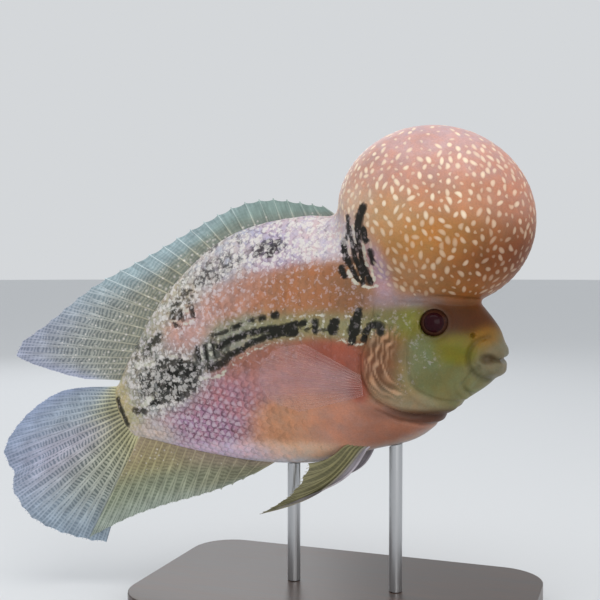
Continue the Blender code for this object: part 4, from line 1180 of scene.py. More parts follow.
def build_scales(looks, side, name, skin_tree, finish, seed):
    """All the scales of one flank as one mesh: thin closed plates whose free rear edges stand up."""
    rng = np.random.default_rng(seed)
    a, b = np.meshgrid(np.linspace(0, 1, SCALE_COLUMNS), np.linspace(-1, 1, SCALE_LINES), indexing="ij")
    row, step, lift = looks.scale_row / MM, looks.scale_step / MM, looks.scale_raise / MM
    turn_spread, size_spread, along_spread, across_spread, raise_spread = SCALE_SPREADS
    points, faces, lies, marks = [], [], [], []
    start = 0
    for here, run, over, scale in scale_places(looks, side):
        if not is_scaled(here[0], here[2]):
            continue
        run, over = run / np.linalg.norm(run), over / np.linalg.norm(over)
        normal = np.cross(run, over) * side
        normal /= np.linalg.norm(normal)
        tilt = rng.normal(0, turn_spread)
        run = run * math.cos(tilt) + over * math.sin(tilt)
        over = np.cross(normal, run) * side
        size = scale * rng.normal(1.0, size_spread)
        here = here + run * rng.normal(0, along_spread) + over * rng.normal(0, across_spread)
        width = SCALE_HALF_WIDTH * row * size * (0.80 + 0.20 * np.sin(math.pi * np.clip(a * 1.1, 0, 1)))
        back = step * size * (SCALE_LENGTH * (a - SCALE_ROUNDING * a * b * b) - SCALE_ROOT)
        stand = lift * scale_relief(here[0], here[2]) * rng.normal(1.0, raise_spread)
        height = stand * (a ** 1.1 * (1 - 0.35 * b * b)) - SCALE_ROOT_SUNK * (1 - a) ** 2 - SCALE_SEAT
        base = here[None, None] + run * back[..., None] + over * (width * b)[..., None]
        top = np.empty_like(base)
        low = np.empty_like(base)
        for i in range(SCALE_COLUMNS):
            for j in range(SCALE_LINES):
                spot, out, _, _ = skin_tree.find_nearest(Vector(base[i, j]))
                top[i, j] = np.array(spot) + np.array(out) * height[i, j]
                low[i, j] = np.array(spot) + np.array(out) * (height[i, j] - SCALE_THICKNESS)
        order = (top, low) if side < 0 else (top[:, ::-1], low[:, ::-1])
        plate, corners = closed_sheet(*order, start)
        points.append(plate)
        faces.append(corners)
        start += len(plate)
        tag = rng.random()
        grid_lie = np.stack([b, a, np.full(a.shape, tag)], axis=-1)
        grid_lie = grid_lie if side < 0 else grid_lie[:, ::-1]
        lies.append(np.concatenate([grid_lie.reshape(-1, 3)] * 2))
        marks.append((here, len(plate)))
    points, lies = np.concatenate(points), np.concatenate(lies)
    made = new_object(name, placed(points), np.concatenate(faces), [finish])
    give_paint(made, points, lies)
    patch_unwrap(made, marks, lies)
    return made


def patch_unwrap(made, marks, lies):
    """The map for the export: each small piece is a patch at its root's place on an unwrap of the
    body, where u runs from tail to snout and v goes once round the body from belly to belly."""
    places = np.concatenate([np.tile(here, (count, 1)) for here, count in marks])
    stations = np.linspace(0, LAST_STATION, 200)
    middle = (curve(BACK, stations) + curve(BELLY, stations)) / 2
    height = places[:, 2] - np.interp(places[:, 0], middle[:, 0], middle[:, 1])
    u = 0.03 + 0.94 * (places[:, 0] - BACK[0][0]) / (HUMP_CENTRE[0] + HUMP_HALF[0] + 4 - BACK[0][0])
    v = 0.5 + 0.94 * np.arctan2(places[:, 1], height) / (2 * math.pi)
    uv = np.stack([u + PATCH * 0.5 * lies[:, 0], v + PATCH * (lies[:, 1] - 0.5)], axis=1)
    layer = made.data.uv_layers.new(name="OFBake")
    corners = np.empty(len(made.data.loops), np.int32)
    made.data.loops.foreach_get("vertex_index", corners)
    layer.data.foreach_set("uv", uv[corners].astype(np.float32).ravel())


def tree_of(made):
    """A search tree of an object's mesh, back in drawing millimetres."""
    points = drawn(points_of(made.data))
    return BVHTree.FromPolygons(points.tolist(), [list(p.vertices) for p in made.data.polygons])


class CICHLID_OT_scales(bpy.types.Operator):
    """Lays the scales of both flanks over the skin"""
    bl_idname = "cichlid.scales"
    bl_label = "Scales"

    def execute(self, context):
        looks = context.scene.cichlid_skin
        skin = bpy.data.objects["skin"]
        skin_tree = tree_of(skin)
        for name, side in SIDES:
            made = build_scales(looks, side, "scales_" + name, skin_tree, skin.data.materials[0],
                                SCALE_SEED + side)
            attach(made, "root")
        return {"FINISHED"}


def fleck_mesh(tree, here, run, over, half_length, half_width, bend):
    """A low closed bean on the skin, as the points of its rings from the middle out, and its faces."""
    turn = full_turn(FLECK_SIDES)
    rings = []
    for share, height, _ in FLECK_RINGS:
        ring = []
        for c, s in zip(np.cos(turn), np.sin(turn)):
            at = here + run * (half_length * share * c)
            at = at + over * (half_width * share * s + bend * (share * c) ** 2)
            spot, out, _, _ = tree.find_nearest(Vector(at))
            ring.append(np.array(spot) + np.array(out) * height)
        rings.append(ring)
    return np.array(rings).reshape(-1, 3), tube_faces(len(rings), FLECK_SIDES)


def fleck_places(looks, rng, tree):
    """Points and outward directions on the hump, no two close together, sparse on the crown and nape,
    none on the dark strokes or where the hump is sunk in the back."""
    centre, half = np.array(HUMP_CENTRE), np.array(HUMP_HALF)
    kept = []
    for _ in range(30 * looks.flecks):
        if len(kept) == looks.flecks:
            break
        way = rng.normal(size=3)
        way /= np.linalg.norm(way)
        at = centre + way * half
        at[0] -= HUMP_LEAN * (at[2] - HUMP_CENTRE[2])
        thin = ease((at[2] - 60) / 14) + 0.7 * ease((34 - at[0]) / 14)
        out = way / half
        if at[2] < 4 or rng.random() < 0.96 * thin:
            continue
        if kept:
            gaps = np.sum((np.array([k[0] for k in kept]) - at) ** 2, axis=1)
            if np.min(gaps) <= FLECK_APART ** 2:
                continue
        bare = stroke_field(DARK_STROKES, at[:1], at[2:])[0] < 0.3
        if bare and tree.find_nearest(Vector(at))[3] < FLECK_SUNK:
            kept.append((at, out / np.linalg.norm(out)))
    return kept


class CICHLID_OT_flecks(bpy.types.Operator):
    """Sprinkles the hump with short pale flecks"""
    bl_idname = "cichlid.flecks"
    bl_label = "Flecks"

    def execute(self, context):
        looks = context.scene.cichlid_skin
        skin = bpy.data.objects["skin"]
        tree = tree_of(skin)
        rng = np.random.default_rng(FLECK_SEED)
        fade = np.array([ring[2] for ring in FLECK_RINGS])
        points, faces, fades, marks, start = [], [], [], [], 0
        for at, out in fleck_places(looks, rng, tree):
            lean = rng.normal(*FLECK_LEAN) * (-1 if at[1] > 0 else 1)
            level = np.cross(out, (0, 0, 1.0))
            level /= np.linalg.norm(level)
            up = np.cross(level, out)
            run = up * math.cos(lean) + level * math.sin(lean)
            over = np.cross(out, run)
            large = rng.random() < LARGE_FLECKS
            length = rng.uniform(*FLECK_LENGTHS[large])
            width = rng.uniform(*FLECK_WIDTHS[large])
            disc, corners = fleck_mesh(tree, at, run, over, length, width, rng.normal(0, 0.25))
            points.append(disc)
            faces += [[k + start for k in f] for f in corners]
            start += len(disc)
            bright = rng.uniform(0.6, 1.1) * (0.5 + 0.6 * ease((at[2] - 26) / 20))
            bright *= (1 if large else 0.65) * (1 - 0.35 * ease((at[0] - 84) / 14))
            fades.append(np.repeat(np.minimum(fade * bright, 1), FLECK_SIDES))
            marks.append((at, len(disc)))
        points = np.concatenate(points)
        lies = np.zeros((len(points), 3)) + (0, 0, 0.5)
        made = new_object("hump_flecks", placed(points), faces, [skin.data.materials[0]])
        give_paint(made, points, lies)
        fields = np.zeros((len(points), 3))
        fields[:, 2] = np.concatenate(fades)
        made.data.attributes["pearls"].data.foreach_set("vector", fields.astype(np.float32).ravel())
        patch_unwrap(made, marks, lies)
        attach(made, "root")
        return {"FINISHED"}


def wet_eye():
    """Eyeball under a clear wet cornea: a large dark maroon pupil in a thin brown iris of fine fibres,
    with the sharp highlight of polished glass."""
    finish, tree, shader = blank_material("wet_cornea")
    polar = node(tree, "Attribute", attribute_name="polar").outputs["Vector"]
    share, turn, _ = node(tree, "SeparateXYZ", {0: polar}).outputs
    fibres = node(tree, "CombineXYZ", {0: turn, 1: share})
    stretched = node(tree, "Mapping", {0: fibres, "Scale": (14.0, 3.0, 1.0)})
    noise = node(tree, "TexNoise", {"Vector": stretched, "Scale": 1.0, "Detail": 3.0})
    ramp = node(tree, "ValToRGB", {0: share})
    looks = bpy.context.scene.cichlid_eyes
    pupil, iris = looks.pupil_colour, looks.iris_colour
    stops = ((0.0, pupil, 1.0), (0.6, pupil, 1.0), (0.675, pupil, 0.7),
             (0.71, iris, 1.3), (0.8, iris, 1.0), (1.0, iris, 0.7))
    for k, (at, colour, light) in enumerate(stops):
        stop = ramp.color_ramp.elements[k] if k < 2 else ramp.color_ramp.elements.new(at)
        stop.position, stop.color = at, [light * c for c in colour[:3]] + [1.0]
    tone = node(tree, "MapRange", {0: noise, 1: 0.3, 2: 0.7, 3: 0.7, 4: 1.35})
    coloured = node(tree, "VectorMath", {0: ramp, "Scale": tone}, operation="SCALE")
    fill(tree, shader, {"Base Color": coloured, "Roughness": 0.4, "Specular IOR Level": 0.04,
                        "Coat Weight": 0.25, "Coat IOR": 1.34, "Coat Roughness": 0.03})
    return finish


def eye_mesh(side):
    """An eyeball with a domed cornea that swells over the pupil and a fine groove round it. Gives its
    points, faces and, at each point, the share of its radius from the axis and the turn round it."""
    x, z = EYE_AT
    centre = np.array([x, side * (surface_y(x, z) - EYE_SUNK), z])
    axis = np.array(EYE_FACES) * (1, side, 1)
    axis /= np.linalg.norm(axis)
    level = np.cross(axis, (0, 0, 1.0))
    level /= np.linalg.norm(level)
    up = np.cross(level, axis)
    rings, sides = 72, 96
    lean = np.linspace(0.012, math.pi - 0.012, rings)[:, None]
    turn = full_turn(sides)[None, :]
    share = np.sin(lean) * np.ones_like(turn)
    front = np.cos(lean) > 0
    swell = LENS_SWELL * ease((PUPIL_SHARE - share) / 0.25)
    swell = swell - IRIS_GROOVE * ridge(share, PUPIL_SHARE + 0.02, 0.07)
    radius = EYE_RADIUS - 0.05 + np.where(front, swell, 0.0)
    points = centre + radius[..., None] * (np.cos(lean)[..., None] * axis
                                           + (share * np.cos(turn))[..., None] * level
                                           + (share * np.sin(turn))[..., None] * up)
    polar = np.stack([np.where(front, share, 1.0), turn * np.ones_like(share), share * 0], axis=-1)
    return points.reshape(-1, 3), tube_faces(rings, sides, flip=True), polar.reshape(-1, 3)


class CICHLID_OT_eyes(bpy.types.Operator):
    """Sets the two eyes into their sockets"""
    bl_idname = "cichlid.eyes"
    bl_label = "Eyes"

    def execute(self, context):
        finish = wet_eye()
        for name, side in SIDES:
            points, faces, polar = eye_mesh(side)
            made = new_object("eyeball_" + name, placed(points), faces, [finish])
            give(made, "polar", "FLOAT_VECTOR", polar)
            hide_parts("eye_" + name)
            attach(made, "root")
        return {"FINISHED"}


def fin_surface(roots, tips, bow=0.0, wave=None):
    """A function that gives the fin's point at ray number i and share out from root to tip."""
    roots, tips = np.asarray(roots, float), np.asarray(tips, float)

    def at(i, out):
        i, out = np.broadcast_arrays(np.asarray(i, float), np.asarray(out, float))
        low, high = curve(roots, i), curve(tips, i)
        run = high - low
        lift = np.stack([run[..., 2], 0 * run[..., 0], -run[..., 0]], axis=-1) * bow
        point = low + run * out[..., None] + lift * np.sin(math.pi * np.clip(out, 0, 1))[..., None]
        if wave:
            point[..., 1] += wave(i / (len(roots) - 1), np.maximum(out, 0.0))
        return point
    return at


def fin_pieces(at, count, spines, notch, sink, thick, ray_radius, splits):
    """The membrane and the rays of one fin. The first rays, as many as spines says, are plain spikes,
    and the others fork splits times on their way out. Gives points, faces and, at each point, the ray
    number, the millimetres from the root and the millimetres from the nearest ray's middle."""
    columns = (count - 1) * MEMBRANE_COLUMNS + 1
    i = np.linspace(0, count - 1, columns)[:, None]
    length = np.linalg.norm(at(i, 1.0) - at(i, 0.0), axis=-1)
    scallop = 1 - notch / length * np.abs(np.sin(math.pi * i)) ** 0.7
    share = np.linspace(0, 1, MEMBRANE_ROWS)[None, :]
    out = -sink / length + (scallop + sink / length) * share
    middle = at(i + 0 * out, out)
    normal = np.cross(np.gradient(middle, axis=0), np.gradient(middle, axis=1))
    normal /= np.linalg.norm(normal, axis=-1, keepdims=True)
    pitch = np.linalg.norm(np.gradient(middle, axis=0), axis=-1) * MEMBRANE_COLUMNS
    nearest = np.full(out.shape, 9.0)
    tubes = []
    for ray in range(count):
        span = float(length[ray * MEMBRANE_COLUMNS, 0])
        forks = 0 if ray < spines else splits
        spike = 0.5 if ray < spines else 0.0
        for path, begin, end, level in ray_paths(ray, forks, -sink / span, 1 + spike / span):
            here = (out >= begin - 0.02) & (out <= end + 0.02) & (np.abs(i + 0 * out - ray) < 1)
            nearest[here] = np.minimum(nearest[here], np.abs((i + 0 * out)[here] - path(out[here])))
            tubes.append((ray, span, path, begin, end, level))
    gap = np.minimum(nearest * pitch, 9.0)
    half = thick * (0.5 - 0.32 * share) * (1 - 0.35 * ease(gap / 1.5))
    points, faces = closed_sheet(middle - normal * half[..., None], middle + normal * half[..., None])
    coordinates = np.stack([i + 0 * out, out * length, gap], axis=-1).reshape(-1, 3)
    all_points, all_faces, all_fin = [points], [list(f) for f in faces], [coordinates] * 2
    start = len(points)
    for ray, span, path, begin, end, level in tubes:
        wide = ray_radius * (SPINE_WIDTH if ray < spines else 1.0)
        wide *= END_RAY_WIDTH if ray in (0, count - 1) else 1.0
        outs = np.linspace(begin, end, max(6, int(RAY_STEPS * (end - begin))))
        number = np.clip(path(outs), 0, count - 1)
        fade = 1 - (SPINE_TAPER if ray < spines else RAY_TAPER) * np.clip(outs, 0, 1)
        tube, corners = tube_mesh(at(number, outs), wide * fade * FORK_WIDTH ** level, RAY_SIDES)
        all_points.append(tube)
        all_faces += [[k + start for k in f] for f in corners]
        start += len(tube)
        fin = np.stack([number, outs * span, np.zeros(len(outs))], axis=-1)
        all_fin.append(np.repeat(fin, RAY_SIDES, axis=0))
    return np.concatenate(all_points), all_faces, np.concatenate(all_fin)


def ray_paths(ray, forks, begin, end):
    """The stretches of one ray: each a function from share out to ray number, where it begins and
    ends, and how many forks come before it. The branches reach the edge evenly spaced."""
    stops = [begin] + [FORK_AT[k] for k in range(forks)] + [end]
    paths = []

    def spread(offset, slope, first):
        return lambda outs: ray + offset + slope * (outs - first)

    level = [(0.0, 0.0)]
    for k in range(len(stops) - 1):
        first, last = stops[k], stops[k + 1]
        following = []
        for offset, slope in level:
            paths.append((spread(offset, slope, first), first, last, k))
            reached = offset + slope * (last - first)
            fan = 0.25 / 2 ** k / (1 - last) if k < forks else 0.0
            following += [(reached, slope + fan), (reached, slope - fan)]
        level = following
    return paths


def fin_paint(zones, across, out):
    """Colours of the rays and the film, and the strength of bars and dots, at shares across and out."""
    total = np.full(len(across), 1e-9)
    fields = np.zeros((len(across), 8))
    for _, ray, film, bars, dots, (za, zo), (ra, ro) in zones:
        weight = np.exp(-((across - za) / ra) ** 2 - ((out - zo) / ro) ** 2) + 1e-7
        total += weight
        fields += weight[:, None] * np.array([*hex_colour(ray)[:3], *hex_colour(film)[:3], bars, dots])
    return fields / total[:, None]


def fin_membrane(name, opacity=1.0):
    """Skin thinned to a milky film over pale bony rays, as on all soft fins: light scatters in it, so it
    looks cloudy, darker in the gaps between the rays, where pale bars cross it in wavy rows."""
    finish, tree, shader = blank_material(name)
    fin = node(tree, "Attribute", attribute_name="fin").outputs["Vector"]
    _, outward, from_ray = node(tree, "SeparateXYZ", {0: fin}).outputs
    bars = node(tree, "Attribute", attribute_name="bars").outputs["Fac"]
    dots = node(tree, "Attribute", attribute_name="dots").outputs["Fac"]
    ray_colour = node(tree, "Attribute", attribute_name="ray_colour").outputs["Color"]
    film_colour = node(tree, "Attribute", attribute_name="film_colour").outputs["Color"]
    place = node(tree, "Attribute", attribute_name="place").outputs["Vector"]
    # Streaks about a sixth of a ray's gap wide and 8 mm long; clouds of 7 mm; grain of 0.8 mm.
    long_way = node(tree, "Mapping", {0: fin, "Scale": (6.0, 0.12, 0.0)})
    streak = node(tree, "TexNoise", {"Vector": long_way, "Scale": 1.0, "Detail": 3.0})
    cloud = node(tree, "TexNoise", {"Vector": place, "Scale": 1 / 7.0, "Detail": 3.0})
    grain = node(tree, "TexNoise", {"Vector": place, "Scale": 1 / 0.8, "Detail": 2.0})
    # The film darkens from 0.25 mm beside each ray and branch, with a ragged border.
    ragged = node(tree, "Math", {0: grain, 1: 0.3, 2: from_ray}, operation="MULTIPLY_ADD")
    gap = node(tree, "MapRange", {0: ragged, 1: 0.32, 2: 0.72}, interpolation_type="SMOOTHSTEP")
    drift = node(tree, "Math", {0: cloud, 1: 5.0, 2: outward}, operation="MULTIPLY_ADD")
    rows = node(tree, "Math", {0: drift, 1: 2.0 / DASH_STEP}, operation="MULTIPLY")
    bar_wave = node(tree, "Math", {0: rows, 1: 1.0}, operation="PINGPONG")
    bar_edge = node(tree, "Math", {0: grain, 1: 0.7, 2: bar_wave}, operation="MULTIPLY_ADD")
    bar = node(tree, "MapRange", {0: bar_edge, 1: 0.65, 2: 1.0}, interpolation_type="SMOOTHSTEP")
    bar_share = node(tree, "Math", {0: bar, 1: bars}, operation="MULTIPLY")
    open_share = node(tree, "Math", {0: 1.0, 1: bar_share}, operation="SUBTRACT")
    share = node(tree, "Math", {0: gap, 1: open_share}, operation="MULTIPLY")
    filmed = node(tree, "Mix", {0: share, 6: ray_colour, 7: film_colour}, data_type="RGBA")
    # Loose pale dots near the root, as on the skin.
    cells = node(tree, "TexVoronoi", {"Vector": place, "Scale": 1 / 2.4, "Randomness": 0.9})
    dot_reach = node(tree, "Math", {0: dots, 1: 0.6}, operation="MULTIPLY")
    dot = node(tree, "MapRange", {0: cells, 1: dot_reach, 2: 0.0, 4: 0.8},
               interpolation_type="SMOOTHSTEP")
    mixed = node(tree, "Mix", {0: dot, 6: filmed, 7: bpy.context.scene.cichlid_skin.dot_colour},
                 data_type="RGBA")
    tone = node(tree, "MapRange", {0: streak, 1: 0.3, 2: 0.7, 3: 0.82, 4: 1.2})
    broad = node(tree, "MapRange", {0: cloud, 1: 0.3, 2: 0.7, 3: 0.84, 4: 1.14})
    shade = node(tree, "Math", {0: tone, 1: broad}, operation="MULTIPLY")
    streaked = node(tree, "VectorMath", {0: mixed, "Scale": shade}, operation="SCALE")
    if opacity < 1:
        solid = node(tree, "MapRange", {0: from_ray, 1: 0.1, 2: 0.3, 3: min(1.0, 1.5 * opacity),
                                        4: opacity})
        fill(tree, shader, {"Alpha": solid})
    # Ray joints about 1.6 mm apart show as faint rings.
    joint = node(tree, "Math", {0: outward, 1: 0.8}, operation="PINGPONG")
    relief = node(tree, "Bump", {"Height": joint, "Strength": 0.3, "Distance": 0.12 * MM})
    fill(tree, shader, {"Base Color": streaked, "Roughness": 0.45, "Specular IOR Level": 0.3,
                        "Normal": relief})
    return finish


def add_fin(name, node_name, zones, at, count, finish, spines=0, notch=0.8, sink=2.5, film=1.0,
            stout=1.0, splits=2):
    """Builds one fin as a single piece and puts it in the place of its CAD node. The film's thickness
    and the rays' radius are shares of the sizes that the fins' settings give."""
    looks = bpy.context.scene.cichlid_fins
    thick, ray_radius = film * looks.film_thickness / MM, stout * looks.ray_radius / MM
    points, faces, fin = fin_pieces(at, count, spines, notch, sink, thick, ray_radius, splits)
    made = new_object(name, placed(points), faces, [finish])
    most = np.interp(fin[:, 0], np.arange(count), np.linalg.norm(
        at(np.arange(count), 1.0) - at(np.arange(count), 0.0), axis=-1))
    reach = np.clip(fin[:, 1] / most, 0, 1)
    fields = fin_paint(FIN_ZONES[zones], fin[:, 0] / (count - 1), reach)
    give(made, "fin", "FLOAT_VECTOR", fin)
    give(made, "bars", "FLOAT", fields[:, 6])
    give(made, "dots", "FLOAT", fields[:, 7])
    give(made, "ray_colour", "FLOAT_COLOR", fields[:, :3])
    give(made, "film_colour", "FLOAT_COLOR", fields[:, 3:6])
    give(made, "place", "FLOAT_VECTOR", points)
    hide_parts(node_name)
    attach(made, "root")


def edge_out(line, t, other):
    """Points of the back or belly line at stations t, held off by FIN_GAP on the side away from other."""
    here = curve(line, t)
    away = here - curve(other, t)
    return flat_line(here + FIN_GAP * away / np.linalg.norm(away, axis=1, keepdims=True))


def flat_line(points):
    """Points of the drawing's middle sheet as x, y and z."""
    return np.stack([points[:, 0], 0 * points[:, 0], points[:, 1]], axis=1)


class CICHLID_OT_middle_fins(bpy.types.Operator):
    """Builds the dorsal, anal and tail fins"""
    bl_idname = "cichlid.middle_fins"
    bl_label = "Middle fins"

    def execute(self, context):
        count = DORSAL_SPINES + DORSAL_RAYS
        share = np.linspace(0, 1, count)
        (first, last), (root_power, tip_power) = DORSAL_BASE, DORSAL_CROWDING
        roots = edge_out(BACK, first + (last - first) * share ** root_power, BELLY)
        tips = flat_line(along(DORSAL_EDGE, share ** tip_power))
        dorsal = fin_surface(roots, tips, wave=lambda a, out: 3.0 * out * np.sin(5.5 * a) * a)
        film = fin_membrane("milky_fin_film")
        add_fin("dorsal_sail", "dorsal_fin", "dorsal", dorsal, count, film,
                spines=DORSAL_SPINES, notch=0.9, sink=2.2)
        share = np.linspace(0, 1, ANAL_RAYS)
        first, last = ANAL_BASE
        roots = edge_out(BELLY, first + (last - first) * share, BACK)
        tips = flat_line(along(ANAL_EDGE, share))
        anal = fin_surface(roots, tips, wave=lambda a, out: -out * (3.4 * a ** 2 + 1.2 * np.sin(5 * a)))
        add_fin("anal_sail", "anal_fin", "anal", anal, ANAL_RAYS, film, spines=4, notch=0.7, sink=2.2)
        share = np.linspace(0, 1, CAUDAL_RAYS)
        top, bottom = np.array(BACK[0], float), np.array(BELLY[0], float)
        run = bottom - top
        behind = np.array([run[1], -run[0]]) / np.linalg.norm(run) * FIN_GAP
        roots = flat_line(top + run * (0.03 + 0.962 * share)[:, None] + behind)
        tips = flat_line(along(CAUDAL_EDGE, share))

        def fold(a, out):
            lobes = 3.0 - 8.5 * ease((a - 0.52) / 0.08) + 8.0 * ease((a - 0.68) / 0.32)
            return out ** 1.3 * (lobes + 1.2 * np.sin(9 * a))
        tail = fin_surface(roots, tips, wave=fold)
        add_fin("tail_fan", "caudal_fin", "tail", tail, CAUDAL_RAYS, film, stout=1.3)
        return {"FINISHED"}


def belly_z(x, y):
    """Height of the belly's surface below a point of the drawing, y to the side."""
    t = FINE_STATIONS
    middle_x = (curve(BACK, t)[:, 0] + curve(BELLY, t)[:, 0]) / 2
    station = float(np.interp(x, middle_x, t))
    width = float(curve([(w, 0) for w in HALF_WIDTH], station)[0]) * (1 + BELLY_WIDER)
    low = float(curve(BELLY, station)[1])
    middle = (float(curve(BACK, station)[1]) + low) / 2
    return middle - (middle - low) * math.sqrt(max(0.0, 1 - (abs(y) / width) ** (2 / SHOULDER_POWER)))


class CICHLID_OT_paired_fins(bpy.types.Operator):
    """Builds the pectoral and pelvic fins of both sides"""
    bl_idname = "cichlid.paired_fins"
    bl_label = "Paired fins"

    def execute(self, context):
        clear = fin_membrane("clear_fin_film", context.scene.cichlid_fins.clear_share)
        film = fin_membrane("olive_fin_film")
        share = np.linspace(0, 1, PECTORAL_RAYS)
        (x0, z0), (x1, z1) = PECTORAL_ROOT
        (p0, q0), (p1, q1) = PELVIC_ROOT
        for name, side in SIDES:
            roots = [(x0 + (x1 - x0) * s, surface_y(x0 + (x1 - x0) * s, z0 + (z1 - z0) * s) + FIN_SEAT,
                      z0 + (z1 - z0) * s) for s in share]
            tips = along(PECTORAL_EDGE, share)
            at = fin_surface(np.array(roots) * (1, side, 1), tips * (1, side, 1))
            add_fin("pectoral_fan_" + name, "pectoral_fin_" + name, "pectoral", at, PECTORAL_RAYS, clear,
                    notch=0.6, sink=2.0, film=0.6, stout=0.5, splits=1)
            roots = []
            for k in range(len(PELVIC_EDGE)):
                s = k / (len(PELVIC_EDGE) - 1)
                x, y = p0 + (p1 - p0) * s, q0 + (q1 - q0) * s
                roots.append((x, side * y, belly_z(x, y) - FIN_SEAT))
            at = fin_surface(roots, np.array(PELVIC_EDGE, float) * (1, side, 1), bow=-0.11)
            add_fin("pelvic_fan_" + name, "pelvic_fin_" + name, "pelvic", at, len(PELVIC_EDGE), film,
                    spines=1, notch=1.5, stout=1.2)
        return {"FINISHED"}


def stained_wood():
    """Beech, planed, stained dark and varnished: straight grain shows through a satin film."""
    finish, tree, shader = blank_material("stained_beech")
    spot = node(tree, "TexCoord").outputs["Object"]
    # Grain lines about 3 mm apart that run the length of the base, with pores of about 0.5 mm.
    stretched = node(tree, "Mapping", {0: spot, "Scale": (6.0, 90.0, 90.0)})
    wave = node(tree, "TexNoise", {"Vector": stretched, "Scale": 3.3, "Detail": 5.0, "Distortion": 1.2})
    pores = node(tree, "Mapping", {0: spot, "Scale": (90.0, 1400.0, 1400.0)})
    speck = node(tree, "TexNoise", {"Vector": pores, "Scale": 1.0, "Detail": 2.0})
    colour = bpy.context.scene.cichlid_stand.wood_colour
    dark = (*[0.45 * c for c in colour[:3]], 1.0)
    tone = node(tree, "MapRange", {0: wave, 1: 0.35, 2: 0.65})
    mixed = node(tree, "Mix", {0: tone, 6: dark, 7: colour}, data_type="RGBA")
    flecked = node(tree, "Mix", {0: 0.35, 6: mixed, 7: speck}, data_type="RGBA", blend_type="MULTIPLY")
    gloss = node(tree, "MapRange", {0: wave, 3: 0.28, 4: 0.42})
    relief = node(tree, "Bump", {"Height": speck, "Strength": 0.2, "Distance": 0.1 * MM})
    fill(tree, shader, {"Base Color": flecked, "Roughness": gloss, "Normal": relief,
                        "Coat Weight": 0.25, "Coat Roughness": 0.25})
    return finish


def brushed_steel():
    """Stainless steel rod, brushed along its length: fine vertical lines and a stretched highlight."""
    finish, tree, shader = blank_material("brushed_steel")
    spot = node(tree, "TexCoord").outputs["Object"]
    lines = node(tree, "Mapping", {0: spot, "Scale": (2600.0, 2600.0, 40.0)})
    scratch = node(tree, "TexNoise", {"Vector": lines, "Scale": 1.0, "Detail": 2.0})
    gloss = node(tree, "MapRange", {0: scratch, 3: 0.22, 4: 0.42})
    fill(tree, shader, {"Base Color": bpy.context.scene.cichlid_stand.steel_colour, "Metallic": 1.0,
                        "Roughness": gloss})
    return finish


class CICHLID_OT_stand(bpy.types.Operator):
    """Finishes the base in stained wood and the rods in brushed steel"""
    bl_idname = "cichlid.stand"
    bl_label = "Stand"

    def execute(self, context):
        wood, steel = stained_wood(), brushed_steel()
        for name, finish in (("stand_base", wood), ("stand_rod_front", steel), ("stand_rod_rear", steel)):
            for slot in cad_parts[name].material_slots:
                slot.material = finish
        return {"FINISHED"}


def painted_floor():
    """Matt emulsion over a smooth board, with a faint roller texture about 2 mm across."""
    finish, tree, shader = blank_material("matt_paint_floor")
    spot = node(tree, "TexCoord").outputs["Object"]
    grain = node(tree, "TexNoise", {"Vector": spot, "Scale": 500.0, "Detail": 2.0})
    relief = node(tree, "Bump", {"Height": grain, "Strength": 0.05, "Distance": 0.2 * MM})
    fill(tree, shader, {"Base Color": bpy.context.scene.cichlid_stage.floor_colour, "Roughness": 0.75,
                        "Normal": relief})
    return finish


def soft_light(name, place, size, power, colour, target):
    """An oblong soft box that faces the target."""
    lamp = bpy.data.lights.new(name, "AREA")
    lamp.shape = "RECTANGLE"
    lamp.size, lamp.size_y = size
    lamp.energy = power
    lamp.color = colour
    made = bpy.data.objects.new(name, lamp)
    made.location = place
    made.rotation_mode = "QUATERNION"
    made.rotation_quaternion = (Vector(place) - Vector(target)).to_track_quat("Z", "Y")
    bpy.context.scene.collection.objects.link(made)


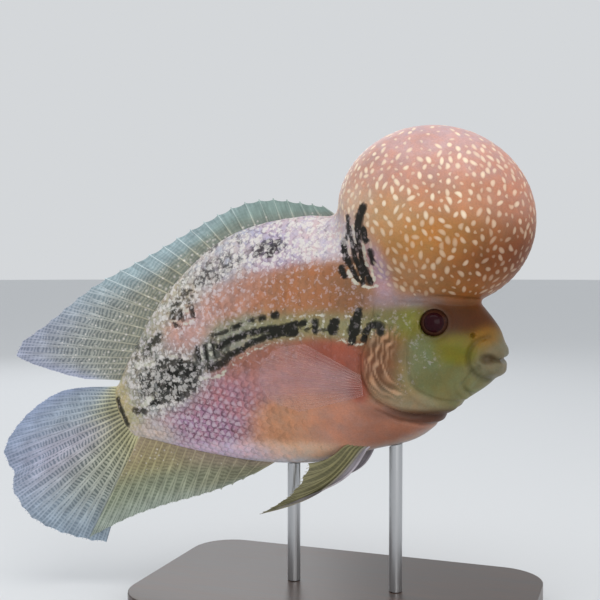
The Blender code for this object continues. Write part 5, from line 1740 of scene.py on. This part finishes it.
class CICHLID_OT_stage(bpy.types.Operator):
    """Sets the floor, the soft lights, the pale surround and the camera"""
    bl_idname = "cichlid.stage"
    bl_label = "Stage"

    def execute(self, context):
        stage = context.scene.cichlid_stage
        turn = full_turn(64)
        disc = FLOOR_RADIUS * np.stack([np.cos(turn), np.sin(turn), 0 * turn], axis=1)
        floor = new_object("floor", disc - (0, 0, FLOOR_DROP), [range(len(disc))], [painted_floor()],
                           smooth=False)
        middle = Vector(AIM)
        for box in SOFT_BOXES:
            soft_light(*box, target=middle)
        world = context.scene.world or bpy.data.worlds.new("surround")
        context.scene.world = world
        world.use_nodes = True
        surround = world.node_tree.nodes["Background"]
        fill(world.node_tree, surround, {"Color": hex_colour(SURROUND_COLOUR),
                                         "Strength": SURROUND_STRENGTH})
        context.scene.view_settings.view_transform = "Standard"
        lens = bpy.data.cameras.new("camera")
        lens.sensor_width = SENSOR_WIDTH
        lens.lens = stage.lens
        lens.clip_start = 0.01
        camera = bpy.data.objects.new("camera", lens)
        context.scene.collection.objects.link(camera)
        back = Vector((math.sin(stage.turn) * math.cos(stage.rise),
                       -math.cos(stage.turn) * math.cos(stage.rise), math.sin(stage.rise)))
        camera.location = middle + back * stage.distance
        camera.rotation_mode = "QUATERNION"
        camera.rotation_quaternion = back.to_track_quat("Z", "Y")
        context.scene.camera = camera
        return {"FINISHED"}


class CICHLID_PT_model(bpy.types.Panel):
    """Buttons for each piece of the model"""
    bl_label = "Cichlid model"
    bl_idname = "CICHLID_PT_model"
    bl_space_type = "VIEW_3D"
    bl_region_type = "UI"
    bl_category = "Cichlid"

    def draw(self, context):
        for operator in OPERATORS:
            self.layout.operator(operator.bl_idname)


GROUPS = (("cichlid_skin", CichlidSkin), ("cichlid_eyes", CichlidEyes), ("cichlid_fins", CichlidFins),
          ("cichlid_stand", CichlidStand), ("cichlid_stage", CichlidStage))
OPERATORS = (CICHLID_OT_skin, CICHLID_OT_scales, CICHLID_OT_flecks, CICHLID_OT_eyes,
             CICHLID_OT_middle_fins, CICHLID_OT_paired_fins, CICHLID_OT_stand, CICHLID_OT_stage)


def register():
    for name, group in GROUPS:
        bpy.utils.register_class(group)
        setattr(bpy.types.Scene, name, PointerProperty(type=group))
    for operator in OPERATORS:
        bpy.utils.register_class(operator)
    bpy.utils.register_class(CICHLID_PT_model)


def unregister():
    bpy.utils.unregister_class(CICHLID_PT_model)
    for operator in reversed(OPERATORS):
        bpy.utils.unregister_class(operator)
    for name, group in reversed(GROUPS):
        delattr(bpy.types.Scene, name)
        bpy.utils.unregister_class(group)


def main():
    register()
    bpy.ops.cichlid.stage()
    bpy.ops.cichlid.skin()
    bpy.ops.cichlid.scales()
    bpy.ops.cichlid.flecks()
    bpy.ops.cichlid.eyes()
    bpy.ops.cichlid.middle_fins()
    bpy.ops.cichlid.paired_fins()
    bpy.ops.cichlid.stand()


if __name__ == "__main__":
    main()
